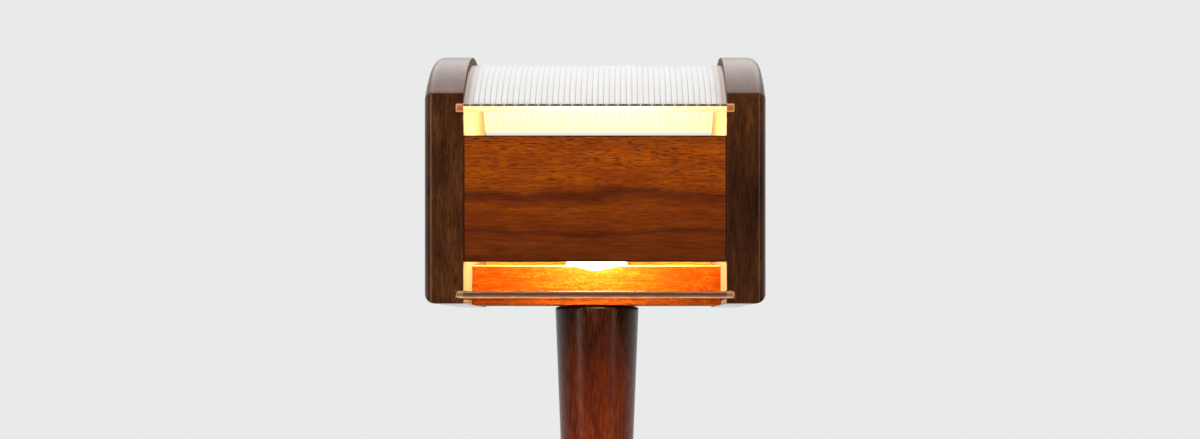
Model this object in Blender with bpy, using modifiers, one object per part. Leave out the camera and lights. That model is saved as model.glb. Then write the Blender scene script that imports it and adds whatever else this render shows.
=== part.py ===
"""Walnut desk lamp: a box head with a reeded arched shade on a turned, tapered post and a round base.

Metres, +Z up, the lamp faces -Y. The origin is on the surface it stands on, under the post's axis.
"""

import math

import bmesh
import bpy
from mathutils import Color, Matrix, Vector

# Fits shared by all pieces
fit_gap = 0.0003
cut_overrun = 0.002

# Head: two cheeks with an arched top
head_depth = 0.136
head_inner_width = 0.117
cheek_thickness = 0.0177
cheek_arch_radius = 0.1057
arch_centre_height = 0.0127
cheek_edge_round = 0.005
cheek_lip = 0.0037
arch_steps = 22
edge_round_steps = 4

# Reeded shade, slid into curved grooves that are open at the front
shade_thickness = 0.0026
reed_pitch = 0.00254
reed_depth = 0.0007
shade_groove_depth = 0.0034
shade_rear_stop = 0.004
shade_steps = 13
points_in_a_reed = 3

# Front and rear panels
panel_thickness = 0.007
light_slot_height = 0.012
panel_edge_round = 0.0006

# Board that carries the head on the post
board_depth = 0.040
board_thickness = 0.0187

# Clear sheets under the head, in straight grooves
lower_sheet_thickness = 0.003
lower_sheet_height = 0.0025
lower_sheet_groove_depth = 0.0033

# Dowels
dowel_radius = 0.0025
dowel_length = 0.022
dowel_in_cheek = 0.010
dowel_sides = 10
panel_dowel_height_shares = (0.22, 0.78)
board_dowel_depth_shares = (-0.28, 0.28)

# Threaded lamp tube with its nuts and washers
tube_radius = 0.005
tube_bore_radius = 0.0038
tube_stub = 0.0006
nut_across_flats = 0.014
nut_thickness = 0.004
washer_radius = 0.009
washer_thickness = 0.0012
nut_recess_depth = 0.008
nut_recess_clearance = 0.001

# Post
post_length = 0.190
post_top_radius = 0.02005
post_bottom_radius = 0.0126
post_chamfer_height = 0.001
post_chamfer_width = 0.002
post_foot_chamfer = 0.0005
post_steps = 32

# Base
base_radius = 0.080
base_height = 0.024
base_top_round = 0.008
base_bottom_chamfer = 0.0015
base_top_wall = 0.007
base_rim_width = 0.028
base_ledge_width = 0.006
base_rebate_depth = 0.003
base_steps = 44
base_round_steps = 5

# Felt, ballast and cover under the base
felt_thickness = 0.002
felt_rim_margin = 0.005
felt_cover_margin = 0.0015
ballast_thickness = 0.010
ballast_clearance = 0.006
ballast_nut_recess_depth = 0.006
cover_screw_count = 4
cover_screw_head_radius = 0.0024
cover_screw_head_height = 0.0014
cover_screw_radius = 0.0012
cover_screw_length = 0.010

# Cord inlet in the base's rear rim
inlet_height = 0.010
inlet_flange_radius = 0.0065
inlet_flange_thickness = 0.002
inlet_barrel_radius = 0.0048
inlet_bore_radius = 0.0034
inlet_length = 0.014

# Push switch in the base's top
switch_bezel_radius = 0.009
switch_bezel_thickness = 0.0015
switch_barrel_radius = 0.0055
switch_nut_radius = 0.0083
switch_nut_thickness = 0.002
switch_body_radius = 0.0075
switch_body_height = 0.0072
switch_clearance = 0.001
button_radius = 0.004
button_proud = 0.003
button_travel = 0.002
button_dome = 0.0006

# Bulb: a small opal globe with a screw cap, its axis level and its round end to the front
bulb_radius = 0.0245
bulb_front_clearance = 0.0028
bulb_board_clearance = 0.0013
bulb_wall = 0.0010
bulb_neck_angle = math.radians(148)
bulb_shoulder_radius = 0.0090
bulb_neck_length = 0.0082
bulb_shoulder_length = 0.0012
bulb_tail_length = 0.006
bulb_cap_radius = 0.00695
bulb_cap_wall = 0.0005
bulb_cap_length = 0.0205
bulb_tip_radius = 0.0024
bulb_tip_height = 0.002
bulb_arc_steps = 11
bulb_turns = 18

# Lampholder with its bracket
holder_wall = 0.0048
holder_back = 0.0085
holder_chamfer = 0.001
shell_wall = 0.0006
shell_length_share = 0.72
contact_radius = 0.0028
contact_thickness = 0.0008
nipple_bore_radius = 0.0036
nipple_stub = 0.001
bracket_width = 0.029
bracket_thickness = 0.0016
bracket_inset = 0.0018
bracket_head_margin = 0.0055
bracket_screw_share = 0.6
bracket_bend_steps = 4
bracket_screw_head_radius = 0.003
bracket_screw_head_height = 0.0018
bracket_screw_radius = 0.0014
bracket_screw_length = 0.012

# Wires
wire_radius = 0.001
wire_spacing = 0.0032
wire_entry_depth = 0.004
wire_sweep = 0.007
wire_bend_share = 0.12
wire_step = 0.0055

round_steps = 16
small_round_steps = 12

# Places that follow from the sizes
base_bottom = felt_thickness + fit_gap
base_top = base_bottom + base_height
base_recess_top = base_top - base_top_wall
base_recess_radius = base_radius - base_rim_width
base_rebate_radius = base_recess_radius + base_ledge_width
ballast_radius = base_recess_radius - ballast_clearance
switch_offset = (post_bottom_radius + ballast_radius) / 2
post_bottom = base_top + fit_gap
post_top = post_bottom + post_length
head_bottom = post_top + fit_gap
board_top = head_bottom + board_thickness
arch_centre = head_bottom + arch_centre_height
half_depth = head_depth / 2
inner_face = head_inner_width / 2
panel_inner_face = half_depth - panel_thickness
board_face = board_depth / 2
shade_radius = cheek_arch_radius - cheek_lip
shade_inner_radius = shade_radius - shade_thickness
shade_front_angle = math.asin(half_depth / shade_radius)
shade_stop_angle = math.asin((half_depth - shade_rear_stop) / shade_radius)
shade_rear_angle = shade_stop_angle - fit_gap / shade_radius
shade_front_height = shade_inner_radius * math.cos(shade_front_angle)
panel_bottom = board_top
panel_top = arch_centre + shade_front_height - light_slot_height
bulb_y = -panel_inner_face + bulb_front_clearance + bulb_radius
mouth_radius = bulb_cap_radius + shell_wall + 2 * fit_gap
holder_radius = mouth_radius + holder_wall


def bulb_axis_rise():
    """Height of the bulb's axis over the board: its globe clears the board's front edge."""
    reach = bulb_radius + bulb_board_clearance
    ahead = -board_face - bulb_y
    clear_of_edge = math.sqrt(max(0, reach**2 - ahead**2))
    clear_of_wires = holder_radius + bracket_thickness + wire_sweep
    return max(clear_of_edge, clear_of_wires)


bulb_z = board_top + bulb_axis_rise()
bulb_shoulder_y = bulb_y - bulb_radius * math.cos(bulb_neck_angle) + bulb_neck_length
bulb_cap_front = bulb_shoulder_y + fit_gap
bulb_cap_rear = bulb_cap_front + bulb_cap_length
bulb_tip_rear = bulb_cap_rear + fit_gap + bulb_tip_height
holder_floor = bulb_tip_rear + contact_thickness + 2 * fit_gap
holder_front = bulb_cap_front + fit_gap
holder_rear = holder_floor + holder_back
bracket_front = holder_rear + fit_gap
bracket_rear = bracket_front + bracket_thickness
bracket_foot = board_top + fit_gap
tube_top = board_top - nut_recess_depth + washer_thickness + nut_thickness + 2 * fit_gap + tube_stub
nut_recess_radius = washer_radius + nut_recess_clearance
ballast_bottom = base_recess_top - fit_gap - ballast_thickness
ballast_nut_floor = ballast_bottom + ballast_nut_recess_depth
tube_bottom = ballast_nut_floor - washer_thickness - nut_thickness - 2 * fit_gap - tube_stub
cover_top = base_bottom + base_rebate_depth - fit_gap
switch_nut_top = base_recess_top - fit_gap
switch_body_top = switch_nut_top - switch_nut_thickness - fit_gap
switch_body_bottom = switch_body_top - switch_body_height
inlet_z = base_bottom + inlet_height
wire_sides = (-wire_spacing / 2, wire_spacing / 2)
wire_entry_y = holder_rear - holder_back / 2
wire_entry_top = bulb_z - holder_radius + wire_entry_depth
wire_floor = (cover_top + ballast_bottom) / 2


def srgb(hex_colour):
    """Linear RGBA of an sRGB hex colour."""
    screen = Color([channel / 255 for channel in bytes.fromhex(hex_colour)])
    return [*screen.from_srgb_to_scene_linear(), 1.0]


def finish(name, hex_colour, roughness, metallic=0.0, transmission=0.0, glow=0.0):
    """A Principled material."""
    material = bpy.data.materials.new(name)
    material.use_nodes = True
    shader = material.node_tree.nodes["Principled BSDF"]
    colour = srgb(hex_colour)
    shader.inputs["Base Color"].default_value = colour
    shader.inputs["Roughness"].default_value = roughness
    shader.inputs["Metallic"].default_value = metallic
    shader.inputs["Transmission Weight"].default_value = transmission
    shader.inputs["Emission Color"].default_value = colour
    shader.inputs["Emission Strength"].default_value = glow
    material.diffuse_color = colour
    return material


for old in list(bpy.data.objects):
    bpy.data.objects.remove(old)

lamp = bpy.data.collections.new("walnut_desk_lamp")
cutters = bpy.data.collections.new("cutters")
bpy.context.scene.collection.children.link(lamp)
bpy.context.scene.collection.children.link(cutters)


def place(name, mesh, material=None, location=(0, 0, 0), rotation=(0, 0, 0)):
    """Puts a mesh in the lamp, or among the cutters when it has no material."""
    obj = bpy.data.objects.new(name, mesh)
    obj.location = location
    obj.rotation_euler = rotation
    if material is None:
        cutters.objects.link(obj)
        obj.hide_render = True
        obj.display_type = "WIRE"
    else:
        lamp.objects.link(obj)
        mesh.materials.clear()
        mesh.materials.append(material)
    return obj


def evaluated_mesh(obj):
    """The object's mesh with its modifiers applied; the object itself is removed."""
    graph = bpy.context.evaluated_depsgraph_get()
    mesh = bpy.data.meshes.new_from_object(obj.evaluated_get(graph))
    bpy.data.objects.remove(obj)
    return mesh


def block(name, low, high, material=None, edge_round=0.0):
    """A box between two corners, with eased edges if asked."""
    low, high = Vector(low), Vector(high)
    bm = bmesh.new()
    bmesh.ops.create_cube(bm, size=1.0)
    bmesh.ops.scale(bm, vec=high - low, verts=bm.verts)
    mesh = bpy.data.meshes.new(name)
    bm.to_mesh(mesh)
    bm.free()
    obj = place(name, mesh, material, (low + high) / 2)
    if edge_round:
        bevel = obj.modifiers.new("eased_edges", "BEVEL")
        bevel.width = edge_round
        bevel.segments = 1
    return obj


def rods(name, ends, radius, sides, material=None):
    """Straight round bars, each between two points, in one object."""
    bm = bmesh.new()
    for start, end in ends:
        start, end = Vector(start), Vector(end)
        along = end - start
        turn = Vector((0, 0, 1)).rotation_difference(along).to_matrix().to_4x4()
        bmesh.ops.create_cone(
            bm,
            cap_ends=True,
            segments=sides,
            radius1=radius,
            radius2=radius,
            depth=along.length,
            matrix=Matrix.Translation((start + end) / 2) @ turn,
        )
    mesh = bpy.data.meshes.new(name)
    bm.to_mesh(mesh)
    bm.free()
    return place(name, mesh, material)


def turned(name, profile, steps, material=None, location=(0, 0, 0), rotation=(0, 0, 0)):
    """A turned piece. The profile's (radius, height) points run down its outer side from the top.

    A profile that starts and ends on the axis is solid; any other is closed up its bore.
    """
    bm = bmesh.new()
    verts = [bm.verts.new((radius, 0, height)) for radius, height in profile]
    for first, second in zip(verts, verts[1:]):
        bm.edges.new((first, second))
    if profile[0][0] > 0:
        bm.edges.new((verts[-1], verts[0]))
    mesh = bpy.data.meshes.new(name)
    bm.to_mesh(mesh)
    bm.free()
    obj = place(name, mesh, material, location, rotation)
    screw = obj.modifiers.new("turn", "SCREW")
    screw.steps = steps
    screw.render_steps = steps
    screw.use_merge_vertices = True
    screw.merge_threshold = 0.00001
    return obj


def flat_solid(name, outline, thickness, material=None, location=(0, 0, 0), rotation=(0, 0, 0)):
    """A flat outline with a thickness, centred on its own plane."""
    curve = bpy.data.curves.new(name, "CURVE")
    curve.dimensions = "2D"
    curve.fill_mode = "BOTH"
    curve.extrude = thickness / 2
    spline = curve.splines.new("POLY")
    spline.points.add(len(outline) - 1)
    for point, (across, up) in zip(spline.points, outline):
        point.co = (across, up, 0, 1)
    spline.use_cyclic_u = True
    shape = bpy.data.objects.new(name + "_outline", curve)
    bpy.context.scene.collection.objects.link(shape)
    mesh = evaluated_mesh(shape)
    bm = bmesh.new()
    bm.from_mesh(mesh)
    bmesh.ops.remove_doubles(bm, verts=bm.verts, dist=fit_gap / 10)
    bmesh.ops.dissolve_limit(bm, angle_limit=math.radians(1), verts=bm.verts, edges=bm.edges)
    bmesh.ops.recalc_face_normals(bm, faces=bm.faces)
    bm.to_mesh(mesh)
    bm.free()
    return place(name, mesh, material, location, rotation)


def cut(obj, cutter):
    """Cuts one object with another, which goes with the cutters."""
    boolean = obj.modifiers.new("cut_" + cutter.name, "BOOLEAN")
    boolean.operation = "DIFFERENCE"
    boolean.solver = "EXACT"
    boolean.object = cutter
    return obj


def arc(radius, start, end, steps, centre=(0, 0)):
    """Points on an arc, with angles counted from straight up towards the first axis."""
    angles = [start + (end - start) * i / steps for i in range(steps + 1)]
    return [(centre[0] + radius * math.sin(a), centre[1] + radius * math.cos(a)) for a in angles]


def smooth_route(points):
    """Points about a wire step apart on a smooth curve through the route's points."""
    knots = [Vector(p) for p in points]
    knots = [2 * knots[0] - knots[1]] + knots + [2 * knots[-1] - knots[-2]]
    route = []
    for before, start, end, after in zip(knots, knots[1:], knots[2:], knots[3:]):
        parts = max(1, round((end - start).length / wire_step))
        parts = 1 if straight(before, start, end, after) else min(parts, 4)
        for i in range(parts):
            t = i / parts
            slope = (end - before) / 2
            bend = before - start * 2.5 + end * 2 - after / 2
            twist = (start - end) * 1.5 + (after - before) / 2
            route.append(start + slope * t + bend * t**2 + twist * t**3)
    return route + [knots[-2]]


def straight(before, start, end, after):
    """Whether four points lie on one line."""
    along = (end - start).normalized()
    return all(along.angle(step, 0) < math.radians(1) for step in (start - before, after - end))


def wire(name, points, material):
    """An insulated single wire along a smooth route."""
    route = smooth_route(points)
    curve = bpy.data.curves.new(name, "CURVE")
    curve.dimensions = "3D"
    curve.bevel_depth = wire_radius
    curve.bevel_resolution = 1
    curve.use_fill_caps = True
    spline = curve.splines.new("POLY")
    spline.points.add(len(route) - 1)
    for point, place_on_route in zip(spline.points, route):
        point.co = (*place_on_route, 1)
    curve.materials.append(material)
    obj = bpy.data.objects.new(name, curve)
    lamp.objects.link(obj)
    return obj


def hex_nut(name, material, location, rotation=(0, 0, 0)):
    """A thin hexagon nut; its underside is at the location."""
    bm = bmesh.new()
    corner_radius = nut_across_flats / 2 / math.cos(math.pi / 6)
    bmesh.ops.create_cone(
        bm,
        cap_ends=True,
        segments=6,
        radius1=corner_radius,
        radius2=corner_radius,
        depth=nut_thickness,
        matrix=Matrix.Translation((0, 0, nut_thickness / 2)),
    )
    mesh = bpy.data.meshes.new(name)
    bm.to_mesh(mesh)
    bm.free()
    nut = place(name, mesh, material, location, rotation)
    low = Vector((0, 0, -cut_overrun))
    high = Vector((0, 0, nut_thickness + cut_overrun))
    thread = rods(name + "_thread", [(low, high)], tube_radius + fit_gap, small_round_steps)
    thread.location = location
    thread.rotation_euler = rotation
    return cut(nut, thread)


def ring(outer, inner, height):
    """Profile of a plain ring that stands on zero."""
    return [(outer, height), (outer, 0), (inner, 0), (inner, height)]


def screw_profile(head_radius, head_height, radius, length, countersunk, grow=0.0):
    """Profile of a wood screw that points down from its head's top at zero height."""
    shoulder = -head_height if countersunk else -head_height + grow
    under_head = radius if countersunk else head_radius
    profile = [(0, grow), (head_radius + grow, grow), (under_head + grow, shoulder - grow)]
    if not countersunk:
        profile.append((radius + grow, shoulder - grow))
    return profile + [(radius + grow, -length + radius), (0, -length - grow)]


walnut = finish("dark_walnut", "4a2a20", 0.35)
red_walnut = finish("red_brown_walnut", "7a3518", 0.4)
acrylic = finish("clear_acrylic", "f2efe6", 0.08, transmission=0.9)
beech = finish("beech_dowel", "c8a070", 0.6)
steel = finish("zinc_plated_steel", "b4b6b8", 0.35, metallic=1.0)
brass = finish("brushed_brass", "b8954e", 0.3, metallic=1.0)
bakelite = finish("black_phenolic", "1c1a19", 0.4)
opal = finish("opal_glass", "fff1d6", 0.3, glow=1.0)
iron = finish("cast_iron_weight", "4a4b4d", 0.6, metallic=1.0)
hardboard = finish("hardboard", "5b4434", 0.7)
felt = finish("dark_felt", "2b2725", 0.95)
nylon = finish("brown_nylon", "2e211b", 0.45)
brown_wire = finish("brown_wire", "5a3420", 0.5)
blue_wire = finish("blue_wire", "2d4a86", 0.5)

# A cheek lies in its own plane: first axis to the rear, second axis up
upright_turn = (math.radians(90), 0, math.radians(90))
forward_turn = (math.radians(90), 0, 0)
rearward_turn = (math.radians(-90), 0, 0)


def dowel_holes(name, ends):
    """Cutter for a row of blind dowel holes, a little longer and wider than the dowels."""
    longer = []
    for start, end in ends:
        along = (Vector(end) - Vector(start)).normalized() * fit_gap
        longer.append((Vector(start) - along, Vector(end) + along))
    return rods(name, longer, dowel_radius + fit_gap, dowel_sides)


def dowel_ends(y, z):
    """Ends of the two dowels, left and right, that share a height and a depth."""
    outer = inner_face + dowel_in_cheek
    inner = outer - dowel_length
    return [((side * inner, y, z), (side * outer, y, z)) for side in (-1, 1)]


panel_middle = half_depth - panel_thickness / 2
panel_heights = [panel_bottom + share * (panel_top - panel_bottom) for share in panel_dowel_height_shares]
panel_dowel_ends = {
    side: [pair for z in panel_heights for pair in dowel_ends(side * panel_middle, z)] for side in (-1, 1)
}
board_middle = head_bottom + board_thickness / 2
board_dowel_ends = [
    pair for share in board_dowel_depth_shares for pair in dowel_ends(share * board_depth, board_middle)
]
front_dowel_holes = dowel_holes("front_dowel_holes", panel_dowel_ends[-1])
rear_dowel_holes = dowel_holes("rear_dowel_holes", panel_dowel_ends[1])
board_dowel_holes = dowel_holes("board_dowel_holes", board_dowel_ends)


def cheek(name, side):
    """One end of the head: an arched walnut slab, rounded over along its outer face."""
    corner = math.asin(half_depth / cheek_arch_radius)
    outline = [(half_depth, 0)]
    outline += arc(cheek_arch_radius, corner, -corner, arch_steps, (0, arch_centre_height))
    outline.append((-half_depth, 0))
    middle = side * (inner_face + cheek_thickness / 2)
    obj = flat_solid(name, outline, cheek_thickness, walnut, (middle, 0, head_bottom), upright_turn)
    bm = bmesh.new()
    bm.from_mesh(obj.data)
    weight = bm.edges.layers.float.new("bevel_weight_edge")
    for edge in bm.edges:
        if all(vert.co.z * side > 0 for vert in edge.verts):
            edge[weight] = 1.0
    bm.to_mesh(obj.data)
    bm.free()
    rounding = obj.modifiers.new("outer_edge_round", "BEVEL")
    rounding.limit_method = "WEIGHT"
    rounding.width = cheek_edge_round
    rounding.segments = edge_round_steps

    inward = inner_face - cut_overrun
    outward = inner_face + shade_groove_depth + fit_gap
    past_front = -shade_front_angle - (cut_overrun + shade_thickness) / shade_radius
    groove = arc(shade_radius + fit_gap, shade_stop_angle, past_front, arch_steps)
    groove += arc(shade_inner_radius - fit_gap, past_front, shade_stop_angle, arch_steps)
    centre = (side * (inward + outward) / 2, 0, arch_centre)
    cut(obj, flat_solid(name + "_shade_groove", groove, outward - inward, None, centre, upright_turn))

    outward = inner_face + lower_sheet_groove_depth + fit_gap
    low_z = head_bottom + lower_sheet_height - fit_gap
    high_z = low_z + lower_sheet_thickness + 2 * fit_gap
    for end in (-1, 1):
        near = end * board_face
        far = end * (half_depth + cut_overrun)
        low = (min(side * inward, side * outward), min(near, far), low_z)
        high = (max(side * inward, side * outward), max(near, far), high_z)
        cut(obj, block(f"{name}_sheet_groove_{'front' if end < 0 else 'rear'}", low, high))
    for holes in (front_dowel_holes, rear_dowel_holes, board_dowel_holes):
        cut(obj, holes)
    return obj


cheek("cheek_left", -1)
cheek("cheek_right", 1)


def panel(name, side, holes):
    """A walnut panel between the cheeks, flush with their front or rear edges."""
    across = inner_face - fit_gap
    near, far = sorted((side * panel_inner_face, side * half_depth))
    obj = block(name, (-across, near, panel_bottom), (across, far, panel_top), red_walnut, panel_edge_round)
    return cut(obj, holes)


panel("front_panel", -1, front_dowel_holes)
panel("rear_panel", 1, rear_dowel_holes)
for number, ends in enumerate(panel_dowel_ends[-1] + panel_dowel_ends[1], 1):
    rods(f"panel_dowel_{number}", [ends], dowel_radius, dowel_sides, beech)
for number, ends in enumerate(board_dowel_ends, 1):
    rods(f"board_dowel_{number}", [ends], dowel_radius, dowel_sides, beech)


def head_board():
    """The board between the cheeks that the post and the lampholder's bracket are fixed to."""
    across = inner_face - fit_gap
    low = (-across, -board_face, head_bottom)
    obj = block("head_board", low, (across, board_face, board_top), red_walnut, panel_edge_round)
    below = (0, 0, head_bottom - cut_overrun)
    above = (0, 0, board_top + cut_overrun)
    seat = (0, 0, board_top - nut_recess_depth)
    cut(obj, rods("board_tube_hole", [(below, above)], tube_radius + fit_gap, small_round_steps))
    cut(obj, rods("board_nut_recess", [(seat, above)], nut_recess_radius, round_steps))
    return cut(obj, board_dowel_holes)


board = head_board()


def reeded_shade():
    """A clear sheet with half-round reeds on its outer side, bent to the cheeks' arch.

    Its cross-section is drawn once, reeds on top, and swept about the arch's centre line.
    """
    half_width = inner_face + shade_groove_depth
    reeds = round(2 * half_width / reed_pitch)
    pitch = 2 * half_width / reeds
    outer = []
    for i in range(reeds * points_in_a_reed + 1):
        phase = i / points_in_a_reed
        crest = abs(math.sin(math.pi * phase))
        outer.append((-half_width + phase * pitch, shade_radius - reed_depth * (1 - crest)))
    inner = [(half_width, shade_inner_radius), (-half_width, shade_inner_radius)]
    bm = bmesh.new()
    start = Matrix.Rotation(shade_front_angle, 3, "X")
    verts = [bm.verts.new(start @ Vector((x, 0, z))) for x, z in outer + inner]
    section = bm.faces.new(verts)
    bmesh.ops.spin(
        bm,
        geom=[section],
        cent=(0, 0, 0),
        axis=(-1, 0, 0),
        angle=shade_front_angle + shade_rear_angle,
        steps=shade_steps,
        use_duplicate=False,
    )
    bmesh.ops.recalc_face_normals(bm, faces=bm.faces)
    mesh = bpy.data.meshes.new("ribbed_shade")
    bm.to_mesh(mesh)
    bm.free()
    return place("ribbed_shade", mesh, acrylic, (0, 0, arch_centre))


reeded_shade()


def lower_sheet(name, side):
    """A clear sheet that closes the head's underside, from the head's edge to the board."""
    across = inner_face + lower_sheet_groove_depth
    near, far = sorted((side * (board_face + fit_gap), side * half_depth))
    low_z = head_bottom + lower_sheet_height
    return block(name, (-across, near, low_z), (across, far, low_z + lower_sheet_thickness), acrylic)


lower_sheet("front_lower_sheet", -1)
lower_sheet("rear_lower_sheet", 1)


def bulb_profile(inset):
    """The globe from its round end to its tail, heights counted forwards, set in by the wall or not."""
    globe = arc(bulb_radius - inset, 0, bulb_neck_angle, bulb_arc_steps)
    shoulder_radius = bulb_shoulder_radius - inset
    shoulder = bulb_y - bulb_shoulder_y + inset
    tail_radius = bulb_cap_radius - bulb_cap_wall - fit_gap - inset
    tail_rear = bulb_y - bulb_shoulder_y - bulb_tail_length
    neck = [(shoulder_radius, shoulder + bulb_shoulder_length), (shoulder_radius, shoulder)]
    return globe + neck + [(tail_radius, shoulder), (tail_radius, tail_rear)]


def bulb():
    """The glass, a shell open at its tail, with the screw cap and its tip."""
    at = (0, bulb_y, bulb_z)
    turned("bulb_glass", bulb_profile(0) + bulb_profile(bulb_wall)[::-1], bulb_turns, opal, at, forward_turn)

    floor = bulb_cap_wall
    rim = bulb_cap_length
    inside = bulb_cap_radius - bulb_cap_wall
    cup = [(0, 2 * floor), (inside, 2 * floor), (inside, rim), (bulb_cap_radius, rim)]
    cup += [(bulb_cap_radius, 2 * floor), (bulb_tip_radius, 0), (0, 0)]
    turned("bulb_cap", cup, round_steps, brass, (0, bulb_cap_rear, bulb_z), forward_turn)
    tip = [(0, bulb_tip_height), (bulb_tip_radius, bulb_tip_height)]
    tip += [(bulb_tip_radius * 0.7, 0), (0, 0)]
    turned("bulb_tip", tip, small_round_steps, steel, (0, bulb_tip_rear, bulb_z), forward_turn)


bulb()


def lampholder():
    """The phenolic lampholder with its screw shell, centre contact and threaded nipple."""
    at = (0, holder_rear, bulb_z)
    length = holder_rear - holder_front
    bore = tube_radius + fit_gap
    body = [
        (holder_radius - holder_chamfer, length),
        (holder_radius, length - holder_chamfer),
        (holder_radius, holder_chamfer),
        (holder_radius - holder_chamfer, 0),
        (bore, 0),
        (bore, holder_back),
        (mouth_radius, holder_back),
        (mouth_radius, length),
    ]
    holder = turned("lampholder_body", body, round_steps, bakelite, at, forward_turn)
    below = bulb_z - holder_radius - cut_overrun
    entries = [((x, wire_entry_y, below), (x, wire_entry_y, wire_entry_top)) for x in wire_sides]
    cut(holder, rods("lampholder_wire_entries", entries, wire_radius + fit_gap, small_round_steps))
    inner = bulb_cap_radius + fit_gap
    shell_length = (length - holder_back) * shell_length_share
    shell_rear = holder_front + fit_gap + shell_length
    shell = ring(inner + shell_wall, inner, shell_length)
    turned("lampholder_shell", shell, round_steps, brass, (0, shell_rear, bulb_z), forward_turn)
    contact_rear = holder_floor - fit_gap
    disc = [(0, contact_thickness), (contact_radius, contact_thickness), (contact_radius, 0), (0, 0)]
    turned("lampholder_contact", disc, small_round_steps, brass, (0, contact_rear, bulb_z), forward_turn)
    nipple_rear = bracket_rear + fit_gap + nut_thickness + nipple_stub
    nipple_length = nipple_rear - holder_floor - fit_gap
    nipple = ring(tube_radius, nipple_bore_radius, nipple_length)
    turned("lampholder_nipple", nipple, small_round_steps, steel, (0, nipple_rear, bulb_z), forward_turn)
    hex_nut("lampholder_nut", steel, (0, bracket_rear + fit_gap, bulb_z), rearward_turn)


lampholder()

bracket_foot_top = bracket_foot + bracket_thickness
bracket_screw_x = bracket_screw_share * bracket_width / 2
bracket_screw_y = (bracket_inset - board_face - nut_recess_radius) / 2
bracket_screw_spots = {"left": (-bracket_screw_x, bracket_screw_y), "right": (bracket_screw_x, bracket_screw_y)}


def holder_bracket():
    """A bent steel strip, screwed on the board, whose upright leg carries the lampholder."""
    inside = bracket_thickness
    outside = 2 * bracket_thickness
    top = bulb_z - bracket_foot + nut_across_flats / 2 + bracket_head_margin
    toe = bracket_inset - board_face
    outline = [(toe, 0)]
    outline += arc(outside, math.pi, math.pi / 2, bracket_bend_steps, (bracket_rear - outside, outside))
    outline += [(bracket_rear, top), (bracket_front, top)]
    outline += arc(inside, math.pi / 2, math.pi, bracket_bend_steps, (bracket_front - inside, outside))
    outline.append((toe, bracket_thickness))
    at = (0, 0, bracket_foot)
    obj = flat_solid("holder_bracket", outline, bracket_width, steel, at, upright_turn)
    low = Vector((0, 0, bracket_foot - cut_overrun))
    high = Vector((0, 0, bracket_foot_top + bracket_thickness))
    cut(obj, rods("bracket_nut_hole", [(low, high)], nut_recess_radius, round_steps))
    spots = [Vector((x, y, 0)) for x, y in bracket_screw_spots.values()]
    shank = [(low + spot, high + spot) for spot in spots]
    cut(obj, rods("bracket_screw_holes", shank, bracket_screw_radius + fit_gap, small_round_steps))
    front = Vector((0, bracket_front - cut_overrun, 0))
    rear = Vector((0, bracket_rear + cut_overrun, 0))
    lift = Vector((0, 0, bulb_z))
    nipple_hole = [(front + lift, rear + lift)]
    return cut(obj, rods("bracket_nipple_hole", nipple_hole, tube_radius + fit_gap, small_round_steps))


holder_bracket()


def bracket_screws():
    """The two pan-head screws that hold the bracket, and their pilot holes in the board."""
    sizes = (bracket_screw_head_radius, bracket_screw_head_height, bracket_screw_radius, bracket_screw_length)
    height = bracket_foot_top + fit_gap + bracket_screw_head_height
    for side, (x, y) in bracket_screw_spots.items():
        turned(f"bracket_screw_{side}", screw_profile(*sizes, False), small_round_steps, steel, (x, y, height))
    bottom = height - bracket_screw_length - fit_gap
    top = board_top + cut_overrun
    pilots = [((x, y, bottom), (x, y, top)) for x, y in bracket_screw_spots.values()]
    cut(board, rods("bracket_pilots", pilots, bracket_screw_radius + fit_gap, small_round_steps))


bracket_screws()


def post():
    """The turned post: widest under the head, tapered evenly to its foot, bored for the tube."""
    bore = tube_radius + fit_gap
    profile = [
        (post_top_radius - post_chamfer_width, post_length),
        (post_top_radius, post_length - post_chamfer_height),
        (post_bottom_radius, post_foot_chamfer),
        (post_bottom_radius - post_foot_chamfer, 0),
        (bore, 0),
        (bore, post_length),
    ]
    return turned("post", profile, post_steps, walnut, (0, 0, post_bottom))


post()


def tube_and_nuts():
    """The threaded tube that clamps head, post and base together, with a nut at each end."""
    tube = ring(tube_radius, tube_bore_radius, tube_top - tube_bottom)
    turned("lamp_tube", tube, small_round_steps, steel, (0, 0, tube_bottom))
    washer = ring(washer_radius, tube_radius + fit_gap, washer_thickness)
    seat = board_top - nut_recess_depth + fit_gap
    turned("head_washer", washer, round_steps, steel, (0, 0, seat))
    hex_nut("head_nut", steel, (0, 0, seat + washer_thickness + fit_gap))
    seat = ballast_nut_floor - fit_gap - washer_thickness
    turned("base_washer", washer, round_steps, steel, (0, 0, seat))
    hex_nut("base_nut", steel, (0, 0, seat - fit_gap - nut_thickness))


tube_and_nuts()


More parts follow.
